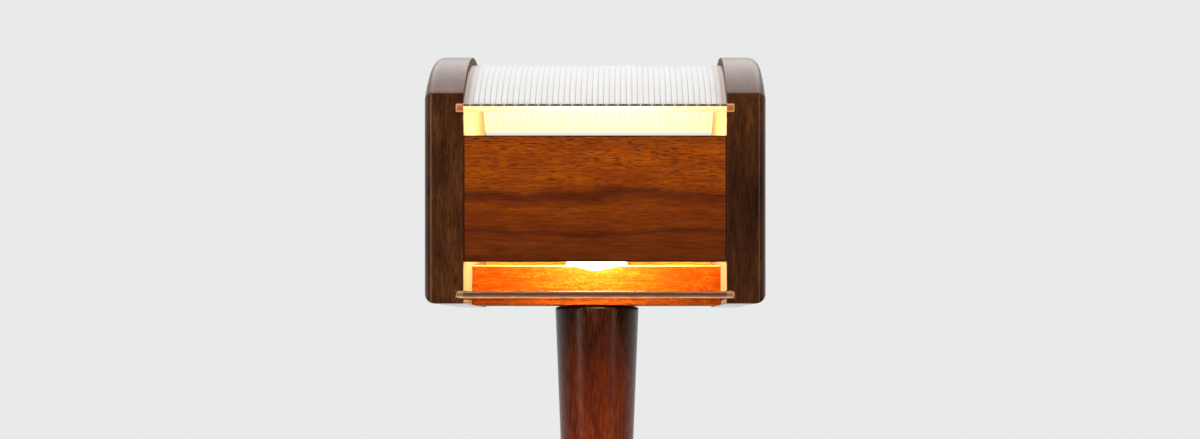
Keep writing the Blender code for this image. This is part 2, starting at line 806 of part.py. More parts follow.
def round_base():
    """The turned walnut base: a disc with a rounded rim, hollow underneath."""
    bore = tube_radius + fit_gap
    rim = base_radius - base_top_round
    shoulder = base_height - base_top_round
    recess = base_height - base_top_wall
    profile = [(bore, base_height)]
    profile += arc(base_top_round, 0, math.pi / 2, base_round_steps, (rim, shoulder))
    profile += [
        (base_radius, base_bottom_chamfer),
        (base_radius - base_bottom_chamfer, 0),
        (base_rebate_radius, 0),
        (base_rebate_radius, base_rebate_depth),
        (base_recess_radius, base_rebate_depth),
        (base_recess_radius, recess),
        (bore, recess),
    ]
    obj = turned("base", profile, base_steps, walnut, (0, 0, base_bottom))
    above = (0, -switch_offset, base_top + cut_overrun)
    below = (0, -switch_offset, base_recess_top - cut_overrun)
    cut(obj, rods("switch_hole", [(below, above)], switch_barrel_radius + fit_gap, round_steps))
    outside = (0, base_radius + cut_overrun, inlet_z)
    inside = (0, base_recess_radius - cut_overrun, inlet_z)
    seat = (0, base_radius - inlet_flange_thickness - fit_gap, inlet_z)
    cut(obj, rods("inlet_spot_face", [(seat, outside)], inlet_flange_radius + fit_gap, round_steps))
    return cut(obj, rods("inlet_hole", [(inside, outside)], inlet_barrel_radius + fit_gap, small_round_steps))


base = round_base()


def cord_inlet():
    """The nylon bushing in the rim that the mains lead would come through."""
    barrel = inlet_length - inlet_flange_thickness
    profile = [
        (inlet_flange_radius, inlet_length),
        (inlet_flange_radius, barrel),
        (inlet_barrel_radius, barrel),
        (inlet_barrel_radius, 0),
        (inlet_bore_radius, 0),
        (inlet_bore_radius, inlet_length),
    ]
    at = (0, base_radius - inlet_length, inlet_z)
    return turned("cord_inlet", profile, small_round_steps, nylon, at, rearward_turn)


cord_inlet()


def under_base():
    """Ballast in the hollow, the screwed cover below it and the felt ring that the lamp stands on."""
    bore = tube_radius + fit_gap
    profile = [
        (ballast_radius, ballast_thickness),
        (ballast_radius, 0),
        (nut_recess_radius, 0),
        (nut_recess_radius, ballast_nut_recess_depth),
        (bore, ballast_nut_recess_depth),
        (bore, ballast_thickness),
    ]
    ballast = turned("ballast_weight", profile, post_steps, iron, (0, 0, ballast_bottom))
    low = (0, -switch_offset, ballast_bottom - cut_overrun)
    high = (0, -switch_offset, base_recess_top + cut_overrun)
    room = max(switch_nut_radius, switch_body_radius) + switch_clearance
    cut(ballast, rods("ballast_switch_hole", [(low, high)], room, round_steps))

    cover_radius = base_rebate_radius - fit_gap
    thickness = cover_top - base_bottom
    disc = [(0, thickness), (cover_radius, thickness), (cover_radius, 0), (0, 0)]
    cover = turned("base_cover", disc, post_steps, hardboard, (0, 0, base_bottom))
    circle = (base_recess_radius + base_rebate_radius) / 2
    sizes = (cover_screw_head_radius, cover_screw_head_height, cover_screw_radius, cover_screw_length)
    upside_down = (math.pi, 0, 0)
    for number in range(1, cover_screw_count + 1):
        angle = 2 * math.pi * (number - 0.5) / cover_screw_count
        spot = (circle * math.cos(angle), circle * math.sin(angle), base_bottom)
        screw = screw_profile(*sizes, True)
        turned(f"cover_screw_{number}", screw, small_round_steps, steel, spot, upside_down)
        around = screw_profile(*sizes, True, fit_gap)
        hole = turned(f"cover_screw_hole_{number}", around, small_round_steps, None, spot, upside_down)
        cut(cover, hole)
        cut(base, hole)

    outer = base_radius - felt_rim_margin
    inner = base_rebate_radius + felt_cover_margin
    turned("felt_ring", ring(outer, inner, felt_thickness), base_steps, felt)


under_base()


def push_switch():
    """A brass push switch: bezel and button on top, ring nut and switch body under the wood."""
    at_top = (0, -switch_offset, base_top + fit_gap)
    bore = button_radius + fit_gap
    barrel_end = switch_body_top + fit_gap - base_top - fit_gap
    bezel = [
        (switch_bezel_radius - fit_gap, switch_bezel_thickness),
        (switch_bezel_radius, switch_bezel_thickness - fit_gap),
        (switch_bezel_radius, 0),
        (switch_barrel_radius, 0),
        (switch_barrel_radius, barrel_end),
        (bore, barrel_end),
        (bore, switch_bezel_thickness),
    ]
    turned("switch_bezel", bezel, round_steps, brass, at_top)
    nut = ring(switch_nut_radius, switch_barrel_radius + fit_gap, switch_nut_thickness)
    turned("switch_nut", nut, round_steps, steel, (0, -switch_offset, switch_nut_top - switch_nut_thickness))
    body = [(0, switch_body_height), (switch_body_radius, switch_body_height), (switch_body_radius, 0), (0, 0)]
    turned("switch_body", body, round_steps, bakelite, (0, -switch_offset, switch_body_bottom))
    bottom = switch_body_top + fit_gap + button_travel
    length = base_top + fit_gap + switch_bezel_thickness + button_proud - bottom
    button = [
        (0, length),
        (button_radius / 2, length - button_dome / 4),
        (button_radius - button_dome / 2, length - button_dome),
        (button_radius, length - 2 * button_dome),
        (button_radius, 0),
        (0, 0),
    ]
    turned("switch_button", button, round_steps, brass, (0, -switch_offset, bottom))


push_switch()


def wires():
    """Two wires from the inlet, one by way of the switch, both up the tube to the lampholder."""
    half = wire_spacing / 2
    inlet_inner = base_radius - inlet_length
    down_y = base_recess_radius - ballast_clearance / 2
    entry_low = wire_floor + wire_radius
    terminal_z = switch_body_bottom - fit_gap
    over_board = bracket_foot_top + 2 * wire_radius

    def to_lampholder(x):
        """Route up the tube and back under the lampholder to its wire entry."""
        return [
            (x, 0, ballast_bottom + ballast_nut_recess_depth),
            (x, 0, base_top),
            (x, 0, post_top - wire_sweep),
            (x, 0, tube_top - wire_sweep),
            (x, 0, tube_top),
            (x, wire_entry_y * wire_bend_share, over_board - wire_radius),
            (x, wire_entry_y / 2, over_board),
            (x, wire_entry_y * (1 - wire_bend_share), over_board + wire_radius),
            (x, wire_entry_y, wire_entry_top - wire_entry_depth),
            (x, wire_entry_y, wire_entry_top - fit_gap),
        ]

    supply = [
        (half, inlet_inner, inlet_z),
        (half, base_recess_radius + fit_gap, inlet_z),
        (half, down_y, entry_low),
        (wire_sweep, down_y - wire_sweep, wire_floor),
        (2 * wire_sweep, down_y / 2, wire_floor),
        (2 * wire_sweep, 0, wire_floor),
        (wire_sweep, -switch_offset / 2, wire_floor),
        (half, -switch_offset + 2 * wire_radius, wire_floor),
        (half, -switch_offset, (wire_floor + terminal_z) / 2),
        (half, -switch_offset, terminal_z),
    ]
    wire("switch_supply_wire", supply, brown_wire)
    switched = [
        (-half, -switch_offset, terminal_z),
        (-half, -switch_offset, (wire_floor + terminal_z) / 2),
        (-half, -switch_offset + 2 * wire_radius, wire_floor),
        (-half, -switch_offset / 2, wire_floor),
        (-half, -wire_sweep, wire_floor),
        (-half, -half / 2, tube_bottom - wire_radius / 2),
    ]
    wire("switched_wire", switched + to_lampholder(-half), brown_wire)
    neutral = [
        (-half, inlet_inner, inlet_z),
        (-half, base_recess_radius + fit_gap, inlet_z),
        (-half, down_y, entry_low),
        (-half, down_y - wire_sweep, wire_floor),
        (half, down_y / 3, wire_floor),
        (half, wire_sweep, wire_floor),
        (half, half / 2, tube_bottom - wire_radius / 2),
    ]
    wire("neutral_wire", neutral + to_lampholder(half), blue_wire)


wires()

for obj in lamp.objects:
    if obj.type == "MESH":
        obj.data.shade_smooth()
        obj.data.set_sharp_from_angle(angle=math.radians(35))
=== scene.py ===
import math

import bmesh
import bpy
import numpy as np
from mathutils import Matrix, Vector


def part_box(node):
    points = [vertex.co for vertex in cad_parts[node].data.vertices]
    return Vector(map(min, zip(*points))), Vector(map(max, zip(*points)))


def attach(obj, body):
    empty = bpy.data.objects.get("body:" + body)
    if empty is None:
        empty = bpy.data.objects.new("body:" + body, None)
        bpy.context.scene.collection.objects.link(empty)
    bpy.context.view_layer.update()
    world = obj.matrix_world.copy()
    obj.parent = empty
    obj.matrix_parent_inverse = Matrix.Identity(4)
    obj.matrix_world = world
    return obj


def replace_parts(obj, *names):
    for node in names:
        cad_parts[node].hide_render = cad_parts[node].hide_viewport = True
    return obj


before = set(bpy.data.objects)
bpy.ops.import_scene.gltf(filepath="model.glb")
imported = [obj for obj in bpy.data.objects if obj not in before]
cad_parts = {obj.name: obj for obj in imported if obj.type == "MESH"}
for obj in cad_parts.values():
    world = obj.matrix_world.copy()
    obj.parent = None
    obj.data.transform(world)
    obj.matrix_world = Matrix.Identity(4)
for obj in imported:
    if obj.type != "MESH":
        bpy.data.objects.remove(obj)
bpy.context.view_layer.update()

mm = 0.001

# ---------------------------------------------------------------------------------------------
# The studio: a level camera in front of the lamp's head, its frame shifted up as in the
# photograph, a pale floor that runs into a pale backdrop without a corner, and large soft lamps.
backdrop_grey = "#e9ebea"
dim_side_grey = "#2a2a2a"
floor_grey = "#c6c8c7"
ambient_level = 0.36
floor_reach = 9.0
floor_fade = (0.3, 1.5)
lens_mm, sensor_mm = 54, 36
camera_place = (0.0111, -0.868, 0.2052)
frame_shift = (-0.0167, 0.092)
softboxes = {
    "overhead_softbox": ((0.0, 0.5, 1.5), (1.5, 2.1), 2.1),
    "front_softbox": ((-0.2, -1.05, 1.35), (1.9, 1.1), 1.7),
    "left_strip": ((-1.15, -0.96, 0.42), (0.22, 1.3), 6.0),
    "right_strip": ((1.10, -1.0, 0.42), (0.12, 1.3), 5.5),
}
softbox_target = (0.0, 0.0, 0.26)


def linear(hex_colour):
    """Linear RGBA of an sRGB hex colour: the screen's curve is undone channel by channel."""
    screen = np.array([int(hex_colour[i : i + 2], 16) for i in (1, 3, 5)]) / 255
    curve = np.where(screen <= 0.04045, screen / 12.92, ((screen + 0.055) / 1.055) ** 2.4)
    return (*curve.tolist(), 1.0)


def feed(tree, node, inputs):
    """Gives each named input of a node its value, or the node or socket that drives it."""
    for socket, value in inputs.items():
        if isinstance(value, bpy.types.Node):
            value = value.outputs[0]
        if isinstance(value, bpy.types.NodeSocket):
            tree.links.new(value, node.inputs[socket])
        else:
            node.inputs[socket].default_value = value


def add_node(tree, kind, inputs=None, stops=(), **settings):
    """Adds one node: its settings, a value or a feeding node or socket for each input, ramp stops."""
    node = tree.nodes.new("ShaderNode" + kind)
    for key, value in settings.items():
        setattr(node, key, value)
    feed(tree, node, inputs or {})
    if stops:
        ramp = node.color_ramp.elements
        ramp[0].position, ramp[1].position = stops[0][0], stops[-1][0]
        for place, _ in stops[1:-1]:
            ramp.new(place)
        for element, (_, shade) in zip(ramp, stops):
            element.color = linear(shade) if isinstance(shade, str) else (shade, shade, shade, 1)
    return node


def seen_directly(tree):
    """1 for the rays that show a surface to the eye, in a mirror or through glass, 0 for light."""
    path = add_node(tree, "LightPath")
    eye = add_node(tree, "Math", {0: path.outputs["Is Camera Ray"], 1: path.outputs["Is Glossy Ray"]},
                   operation="MAXIMUM")
    return add_node(tree, "Math", {0: eye, 1: path.outputs["Is Transmission Ray"]}, operation="MAXIMUM")


def new_tree(holder):
    """The empty node tree of a material or a world."""
    holder.use_nodes = True
    holder.node_tree.nodes.clear()
    return holder.node_tree


def room_colour(tree, direction):
    """The room that way: pale to the eye; in a gloss pale behind the lamp, dim on the camera's side."""
    toward = add_node(tree, "SeparateXYZ", {0: direction}).outputs["Y"]
    behind = add_node(tree, "MapRange", {"Value": toward, "From Min": -0.4, "From Max": 0.5},
                      interpolation_type="SMOOTHSTEP")
    mirrored = add_node(tree, "Mix", {0: behind, 6: linear(dim_side_grey), 7: linear(backdrop_grey)},
                        data_type="RGBA")
    glossy = add_node(tree, "LightPath").outputs["Is Glossy Ray"]
    pale = add_node(tree, "Mix", {0: glossy, 6: linear(backdrop_grey), 7: mirrored.outputs[2]},
                    data_type="RGBA")
    return pale.outputs[2]


world = bpy.data.worlds.new("pale_backdrop")
bpy.context.scene.world = world
tree = new_tree(world)
room = room_colour(tree, add_node(tree, "TexCoord").outputs["Generated"])
light = add_node(tree, "Background", {"Color": (1, 1, 1, 1), "Strength": ambient_level})
view = add_node(tree, "Background", {"Color": room, "Strength": 1.0})
both = add_node(tree, "MixShader", {0: seen_directly(tree), 1: light, 2: view})
add_node(tree, "OutputWorld", {"Surface": both})

# The floor is a matt pale card near the lamp, which keeps its shadow; it fades to the backdrop
floor_finish = bpy.data.materials.new("pale_matt_card")
tree = new_tree(floor_finish)
spot = add_node(tree, "TexCoord").outputs["Object"]
away = add_node(tree, "VectorMath", {0: spot}, operation="LENGTH").outputs["Value"]
fade = add_node(tree, "MapRange", {"Value": away, "From Min": floor_fade[0], "From Max": floor_fade[1]},
                interpolation_type="SMOOTHSTEP")
far = add_node(tree, "Math", {0: fade, 1: seen_directly(tree)}, operation="MULTIPLY")
card = add_node(tree, "BsdfDiffuse", {"Color": linear(floor_grey)})
room = room_colour(tree, add_node(tree, "VectorMath", {0: spot}, operation="NORMALIZE"))
glow = add_node(tree, "Emission", {"Color": room, "Strength": 1.0})
both = add_node(tree, "MixShader", {0: far, 1: card, 2: glow})
add_node(tree, "OutputMaterial", {"Surface": both})
floor_mesh = bpy.data.meshes.new("floor")
floor_corners = np.array([(-1, -1, 0), (1, -1, 0), (1, 1, 0), (-1, 1, 0)]) * floor_reach
floor_mesh.from_pydata(floor_corners.tolist(), [], [(0, 1, 2, 3)])
floor_mesh.materials.append(floor_finish)
floor = bpy.data.objects.new("floor", floor_mesh)
bpy.context.scene.collection.objects.link(floor)

for name, (place, size, level) in softboxes.items():
    lamp = bpy.data.lights.new(name, "AREA")
    lamp.shape = "RECTANGLE"
    lamp.size, lamp.size_y = size
    lamp.energy = level * math.pi * size[0] * size[1]
    box = bpy.data.objects.new(name, lamp)
    bpy.context.scene.collection.objects.link(box)
    aim = np.array(softbox_target) - np.array(place)
    box.location = place
    box.rotation_euler = Vector(aim.tolist()).to_track_quat("-Z", "Y").to_euler()

lens = bpy.data.cameras.new("camera")
lens.lens, lens.sensor_width = lens_mm, sensor_mm
lens.shift_x, lens.shift_y = frame_shift
camera = bpy.data.objects.new("camera", lens)
camera.location = camera_place
camera.rotation_euler = (math.radians(90), 0, 0)
bpy.context.scene.collection.objects.link(camera)
bpy.context.scene.camera = camera
bpy.context.scene.view_settings.view_transform = "Standard"

# ---------------------------------------------------------------------------------------------
# The two cheeks: arched slabs of dark walnut, bandsawn, rounded over along the outer face with a
# router and left crisp inside, oiled and rubbed to a soft gloss. A curved groove for the shade
# and straight ones for the lower sheets are milled into the inner faces, open at the edges.
half_depth = 68 * mm
inner_face = 58.5 * mm
panel_top = 291.7 * mm
cheek_thickness = 17.7 * mm
cheek_round = 5 * mm
head_bottom = 216.9 * mm
arch_centre = 229.6 * mm
arch_radius = 105.7 * mm
shade_radius = 102 * mm
shade_thickness = 2.6 * mm
groove_slack = 0.3 * mm
shade_groove_depth = 3.7 * mm
shade_rear_stop = 64 * mm
sheet_low, sheet_high = head_bottom + 2.5 * mm, head_bottom + 5.5 * mm
sheet_groove_depth = 3.6 * mm
board_half_depth = 20 * mm
crisp = 0.35 * mm


def place_mesh(name, points, faces, finish, body="lamp", smooth_angle=35):
    """Puts points and faces in a closed mesh: doubles merged, faces outwards, sharp edges kept."""
    mesh = bpy.data.meshes.new(name)
    mesh.from_pydata(points.tolist(), [], faces)
    bm = bmesh.new()
    bm.from_mesh(mesh)
    bmesh.ops.remove_doubles(bm, verts=bm.verts, dist=0.002 * mm)
    bmesh.ops.recalc_face_normals(bm, faces=bm.faces)
    bm.to_mesh(mesh)
    bm.free()
    mesh.shade_smooth()
    mesh.set_sharp_from_angle(angle=math.radians(smooth_angle))
    mesh.materials.append(finish)
    piece = bpy.data.objects.new(name, mesh)
    bpy.context.scene.collection.objects.link(piece)
    if body:
        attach(piece, body)
    return piece


def grid_faces(rows, columns, close_rows, close_columns):
    """Quads between neighbours on a grid of points, with its edges joined where it is closed."""
    index = np.arange(rows * columns).reshape(rows, columns)
    index = np.vstack([index, index[:1]]) if close_rows else index
    index = np.hstack([index, index[:, :1]]) if close_columns else index
    quads = np.stack([index[:-1, :-1], index[:-1, 1:], index[1:, 1:], index[1:, :-1]], axis=-1)
    return quads.reshape(-1, 4).tolist()


def loop_faces(rows, columns):
    """Quads round a stack of closed loops, with its first and last loop as end faces."""
    last = (rows - 1) * columns
    ends = [list(range(columns)), list(range(last, last + columns))]
    return grid_faces(rows, columns, False, True) + ends


def slab(name, outline, edge, lay, finish, **place):
    """A slab: its outline set in by each edge point's first number, at the depth of the second.

    outline(inset) is a closed loop in the plane; lay names the loop's two axes and the depth's.
    """
    loops = np.stack([outline(inset) for inset, _ in edge])
    depth = np.array([depth for _, depth in edge])
    points = np.empty((*loops.shape[:2], 3))
    points[..., "xyz".index(lay[0])] = loops[..., 0]
    points[..., "xyz".index(lay[1])] = loops[..., 1]
    points[..., "xyz".index(lay[2])] = depth[:, None]
    return place_mesh(name, points.reshape(-1, 3), loop_faces(*loops.shape[:2]), finish, **place)


def round_over(start, end, first, last, steps=4):
    """Edge of a slab from its start face to its end face: a quarter circle of each radius, with a
    holding point beyond each circle that keeps the flat beside it flat."""
    turn = np.linspace(0, np.pi / 2, steps + 1)
    way = np.sign(end - start)
    hold = 0.06 * mm
    near = np.stack([first * (1 - np.sin(turn)), start + way * first * (1 - np.cos(turn))], axis=1)
    far = np.stack([last * (1 - np.cos(turn)), end - way * last * (1 - np.sin(turn))], axis=1)
    path = [(first + hold, start), *near, (0, near[-1, 1] + way * hold)]
    return path + [(0, far[0, 1] - way * hold), *far, (last + hold, end)]


def bend(start, corner, end, steps=4):
    """A parabola from start to end that would reach the corner between them."""
    t = np.linspace(0, 1, steps + 1)[:, None]
    start, corner, end = (np.array(point, float) for point in (start, corner, end))
    return (1 - t) ** 2 * start + 2 * t * (1 - t) * corner + t**2 * end


def cheek_outline(inset):
    """Loop round a cheek in its own plane: sole, front edge, arch about its centre, rear edge."""
    half, radius = half_depth - inset, arch_radius - inset
    sole = head_bottom + inset
    corner = math.asin(half / radius)
    angles = np.linspace(-corner + crisp / radius, corner - crisp / radius, 72)
    arch = np.stack([radius * np.sin(angles), arch_centre + radius * np.cos(angles)], axis=1)
    shoulder = arch_centre + radius * math.cos(corner)
    front_foot = bend((-half + crisp, sole), (-half, sole), (-half, sole + crisp))
    front_top = bend((-half, shoulder - crisp), (-half, shoulder), arch[0])
    rear_top = bend(arch[-1], (half, shoulder), (half, shoulder - crisp))
    rear_foot = bend((half, sole + crisp), (half, sole), (half - crisp, sole))
    return np.vstack([front_foot, front_top, arch[1:-1], rear_top, rear_foot])


def carve(piece, cutters):
    """Cuts closed meshes out of a piece, for good, and removes them."""
    for cutter in cutters:
        cutting = piece.modifiers.new("cut", "BOOLEAN")
        cutting.operation, cutting.solver, cutting.object = "DIFFERENCE", "EXACT", cutter
    graph = bpy.context.evaluated_depsgraph_get()
    carved = bpy.data.meshes.new_from_object(piece.evaluated_get(graph))
    piece.modifiers.clear()
    piece.data = carved
    carved.shade_smooth()
    carved.set_sharp_from_angle(angle=math.radians(35))
    for cutter in cutters:
        bpy.data.objects.remove(cutter)
    return piece


def shade_groove(inset):
    """Loop round the curved groove: an arc band about the arch's centre, run out past the front."""
    high, low = shade_radius + groove_slack, shade_radius - shade_thickness - groove_slack
    stop, past = math.asin(shade_rear_stop / shade_radius), math.radians(-44)
    angles = np.linspace(past, stop, 48)
    high_arc = np.stack([high * np.sin(angles), arch_centre + high * np.cos(angles)], axis=1)
    low_arc = np.stack([low * np.sin(angles), arch_centre + low * np.cos(angles)], axis=1)
    return np.vstack([high_arc, low_arc[::-1]])


def rectangle(low, high, corner=0.0):
    """A rectangle's loop as a function of its inset, with its corners eased."""
    def outline(inset):
        (a, b), (c, d) = np.array(low) + inset, np.array(high) - inset
        ease = max(corner, 0.001 * mm)
        return np.vstack([
            bend((a, b + ease), (a, b), (a + ease, b)), bend((c - ease, b), (c, b), (c, b + ease)),
            bend((c, d - ease), (c, d), (c - ease, d)), bend((a + ease, d), (a, d), (a, d - ease)),
        ])
    return outline


def new_finish(name, sockets):
    """A material with one Principled shader, its uniform values set on the shader's own sockets; also
    its node tree, the shader and the spot on the object that patterns are drawn by."""
    material = bpy.data.materials.new(name)
    tree = new_tree(material)
    shader = add_node(tree, "BsdfPrincipled", sockets)
    add_node(tree, "OutputMaterial", {"Surface": shader})
    return material, tree, shader, add_node(tree, "TexCoord").outputs["Object"]


def grained(tree, spot, along, across, run, **sockets):
    """Noise drawn out along the grain: its marks are so long along it and so wide across it."""
    size = [across, across, across]
    size["xyz".index(run)] = along
    stretch = add_node(tree, "Mapping", {"Vector": spot, "Scale": [1 / (s * mm) for s in size]})
    return add_node(tree, "TexNoise", {"Vector": stretch, "Scale": 1.0, **sockets})


def mottled(name, sockets, size, stops, dull=None, relief=None, **noise):
    """A finish whose colour, and where given its dullness and relief, follow one noise's marks."""
    material, tree, shader, spot = new_finish(name, sockets)
    marks = grained(tree, spot, *size, "x", **noise)
    colour = add_node(tree, "ValToRGB", {0: marks}, stops=stops)
    feed(tree, shader, {"Base Color": colour})
    if dull:
        gloss = add_node(tree, "MapRange", {"Value": marks, "To Min": dull[0], "To Max": dull[1]})
        feed(tree, shader, {"Roughness": gloss})
    if relief:
        bump = add_node(tree, "Bump", {"Height": marks, "Strength": relief[0], "Distance": relief[1]})
        feed(tree, shader, {"Normal": bump})
    return material


# Walnut: long streaks of dark and light heartwood along the grain, short open pores as dark
# dashes, and a low even gloss from oil. Real pores are 0.2 mm wide; they are drawn at 0.45 mm,
# as fine as the render can show. rings gives (low, high, stops): tones one above another between
# two heights, which waver along it: growth rings, and painted light and shade that makes a piece
# lighter or darker with height. rim gives (half width, low, high) of a piece along whose edges a
# thin line is painted in its rim tone: painted shade along a panel's joints and edges, or a
# painted highlight along the board's top edge. Its oil warms the gloss.
oil_warmth = (1.0, 0.78, 0.7, 1)


def walnut(name, run, tones, rings=None, shift=(0, 0, 0), streak=(70, 5), pore=(5, 0.45),
           pore_tone="#1b0d08", pore_share=0.5, gloss=0.34, specular=0.35, relief=0.25, fine=0.38, rim=None,
           painted_edge_tone="#2e0c04"):
    """A walnut finish whose grain runs along one axis, in three tones from dark to light."""
    material, tree, shader, object_spot = new_finish(name, {
        "IOR": 1.5, "Specular IOR Level": specular, "Specular Tint": oil_warmth,
    })
    spot = add_node(tree, "Mapping", {"Vector": object_spot, "Location": shift})
    bands = grained(tree, spot, streak[0], streak[1], run, Detail=4.0, Roughness=0.6, Distortion=0.5)
    clouds = grained(tree, spot, streak[0], streak[1] * 4, run, Detail=2.0)
    fibres = grained(tree, spot, 9, 0.7, run, Detail=2.0)
    pores = grained(tree, spot, pore[0], pore[1], run, Detail=1.0)
    figure = add_node(tree, "Mix", {0: 0.45, 2: bands, 3: clouds}, data_type="FLOAT")
    figure = add_node(tree, "Mix", {0: fine, 2: figure, 3: fibres}, data_type="FLOAT")
    dark, mid, light = tones
    wood = add_node(tree, "ValToRGB", {0: figure}, stops=[(0.36, dark), (0.5, mid), (0.66, light)])
    patch = add_node(tree, "ValToRGB", {0: clouds}, stops=[(0.36, 0.4), (0.54, 1.0)])
    # Tones by height: growth rings, or painted light and shade where a piece grows lighter or darker with
    # height
    if rings:
        low, high, stops = rings
        height = add_node(tree, "SeparateXYZ", {0: object_spot}).outputs["Z"]
        share = add_node(tree, "MapRange", {"Value": height, "From Min": low, "From Max": high})
        waver = grained(tree, spot, 45, 25, run, Detail=5.0, Roughness=0.62)
        waver = add_node(tree, "MapRange", {"Value": waver, "To Min": -0.1, "To Max": 0.1})
        share = add_node(tree, "Math", {0: share, 1: waver}, operation="ADD")
        ring = add_node(tree, "ValToRGB", {0: share}, stops=stops)
        wood = add_node(tree, "Mix", {0: 1.0, 6: ring, 7: wood}, data_type="RGBA", blend_type="MULTIPLY")
        wood = wood.outputs[2]
        patch = add_node(tree, "Mix", {0: share, 2: 0.1, 3: patch}, data_type="FLOAT")
    deep = add_node(tree, "ValToRGB", {0: pores}, stops=[(0.51, 0.0), (0.6, pore_share)])
    amount = add_node(tree, "Math", {0: deep, 1: patch}, operation="MULTIPLY")
    colour = add_node(tree, "Mix", {0: amount, 6: wood, 7: linear(pore_tone)}, data_type="RGBA")
    # A thin line painted along the edges: painted shade on a panel, a painted highlight on the board
    if rim:
        half_width, low, high = rim
        parts = add_node(tree, "SeparateXYZ", {0: object_spot})
        out = add_node(tree, "Math", {0: parts.outputs["X"]}, operation="ABSOLUTE")
        line = 0.0
        for distance, pale, line_full in (
            (out, half_width - 0.7 * mm, half_width - 0.3 * mm),
            (parts.outputs["Z"], low + 0.7 * mm, low + 0.3 * mm),
            (parts.outputs["Z"], high - 0.7 * mm, high - 0.4 * mm),
        ):
            near = add_node(tree, "MapRange", {"Value": distance, "From Min": pale, "From Max": line_full})
            line = add_node(tree, "Math", {0: line, 1: near}, operation="MAXIMUM")
        colour = add_node(tree, "Mix", {0: line, 6: colour.outputs[2], 7: linear(painted_edge_tone)}, data_type="RGBA")
    dull = add_node(tree, "MapRange", {"Value": fibres, "To Min": gloss - 0.06, "To Max": gloss + 0.12})
    level = add_node(tree, "Math", {0: fibres, 1: amount}, operation="SUBTRACT")
    bump = add_node(tree, "Bump", {"Height": level, "Strength": relief, "Distance": 0.05 * mm})
    feed(tree, shader, {"Base Color": colour.outputs[2], "Roughness": dull, "Normal": bump})
    return material


def finish_side(piece, finish, axis, way, least=0.9):
    """Gives the faces that look one way along an axis a finish of their own."""
    facing, slots = np.empty(3 * len(piece.data.polygons)), np.empty(len(piece.data.polygons), int)
    piece.data.polygons.foreach_get("normal", facing)
    piece.data.polygons.foreach_get("material_index", slots)
    slots[facing.reshape(-1, 3)[:, "xyz".index(axis)] * way > least] = len(piece.data.materials)
    piece.data.materials.append(finish)
    piece.data.polygons.foreach_set("material_index", slots)


cheek_tones = ("#241009", "#492610", "#6a3c1b")
cheek_walnut = walnut("oiled_dark_walnut_upright", "z", cheek_tones, streak=(40, 6), fine=0.24, gloss=0.2,
                      specular=0.36, relief=0.12)
# The arch is rubbed more than the flat faces, because a hand reaches over it to the shade
arch_walnut = walnut("rubbed_dark_walnut_arch", "y", cheek_tones, streak=(40, 6), fine=0.24, gloss=0.3,
                     specular=0.4, relief=0.0)
# The faces inside the head are left bare, so they are paler and throw the bulb's light back. Their
# tone is painted darker towards the board, as painted shade, and lighter towards the top, as painted light.
bare_walnut = walnut("bare_pale_walnut_upright", "z", ("#d8d0c8", "#ece6e0", "#ffffff"), streak=(90, 9),
                     rings=(head_bottom, panel_top, [(0.0, "#8a6a48"), (0.4, "#94775a"), (1.0, "#bea686")]),
                     pore_tone="#6a5238", pore_share=0.3, gloss=0.6, specular=0.3)


def from_arch_centre(tree, spot):
    """How far a spot is from the arch's axis."""
    parts = add_node(tree, "SeparateXYZ", {0: spot})
    rise = add_node(tree, "Math", {0: parts.outputs["Z"], 1: arch_centre}, operation="SUBTRACT")
    arm = add_node(tree, "CombineXYZ", {"Y": parts.outputs["Y"], "Z": rise})
    return add_node(tree, "VectorMath", {0: arm}, operation="LENGTH").outputs["Value"]


# The rim above the shade's groove shows from outside, and is oiled like the arch
tree = bare_walnut.node_tree
radius = from_arch_centre(tree, add_node(tree, "TexCoord").outputs["Object"])
outside = add_node(tree, "MapRange",
                   {"Value": radius, "From Min": shade_radius, "From Max": shade_radius + groove_slack})
base_colour = tree.nodes["Principled BSDF"].inputs["Base Color"]
colour = add_node(tree, "Mix", {0: outside, 6: base_colour.links[0].from_socket, 7: linear(cheek_tones[2])},
                  data_type="RGBA")
tree.links.new(colour.outputs[2], base_colour)
# The soles are sanded finer, so that they mirror what is level with them
sole_walnut = walnut("sanded_walnut_sole", "y", cheek_tones, gloss=0.07, specular=0.6, relief=0.0)
for side, name in ((-1, "cheek_left"), (1, "cheek_right")):
    edge = round_over(side * inner_face, side * (inner_face + cheek_thickness), crisp, cheek_round, 12)
    cheek = slab(name + "_walnut", cheek_outline, edge, "yzx", cheek_walnut)
    start, stop = side * (inner_face - 1 * mm), side * (inner_face + shade_groove_depth)
    cutters = [slab("groove", shade_groove, [(0, start), (0, stop)], "yzx", cheek_walnut, body=None)]
    stop = side * (inner_face + sheet_groove_depth)
    for end in (-1, 1):
        near, far = sorted((end * board_half_depth, end * (half_depth + 2 * mm)))
        groove = rectangle((near, sheet_low - groove_slack), (far, sheet_high + groove_slack))
        cutters.append(slab("groove", groove, [(0, start), (0, stop)], "yzx", cheek_walnut, body=None))
    finish_side(carve(cheek, cutters), bare_walnut, "x", -side)
    finish_side(cheek, sole_walnut, "z", -1)
    finish_side(cheek, arch_walnut, "z", 1, least=0.5)
    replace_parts(cheek, name)

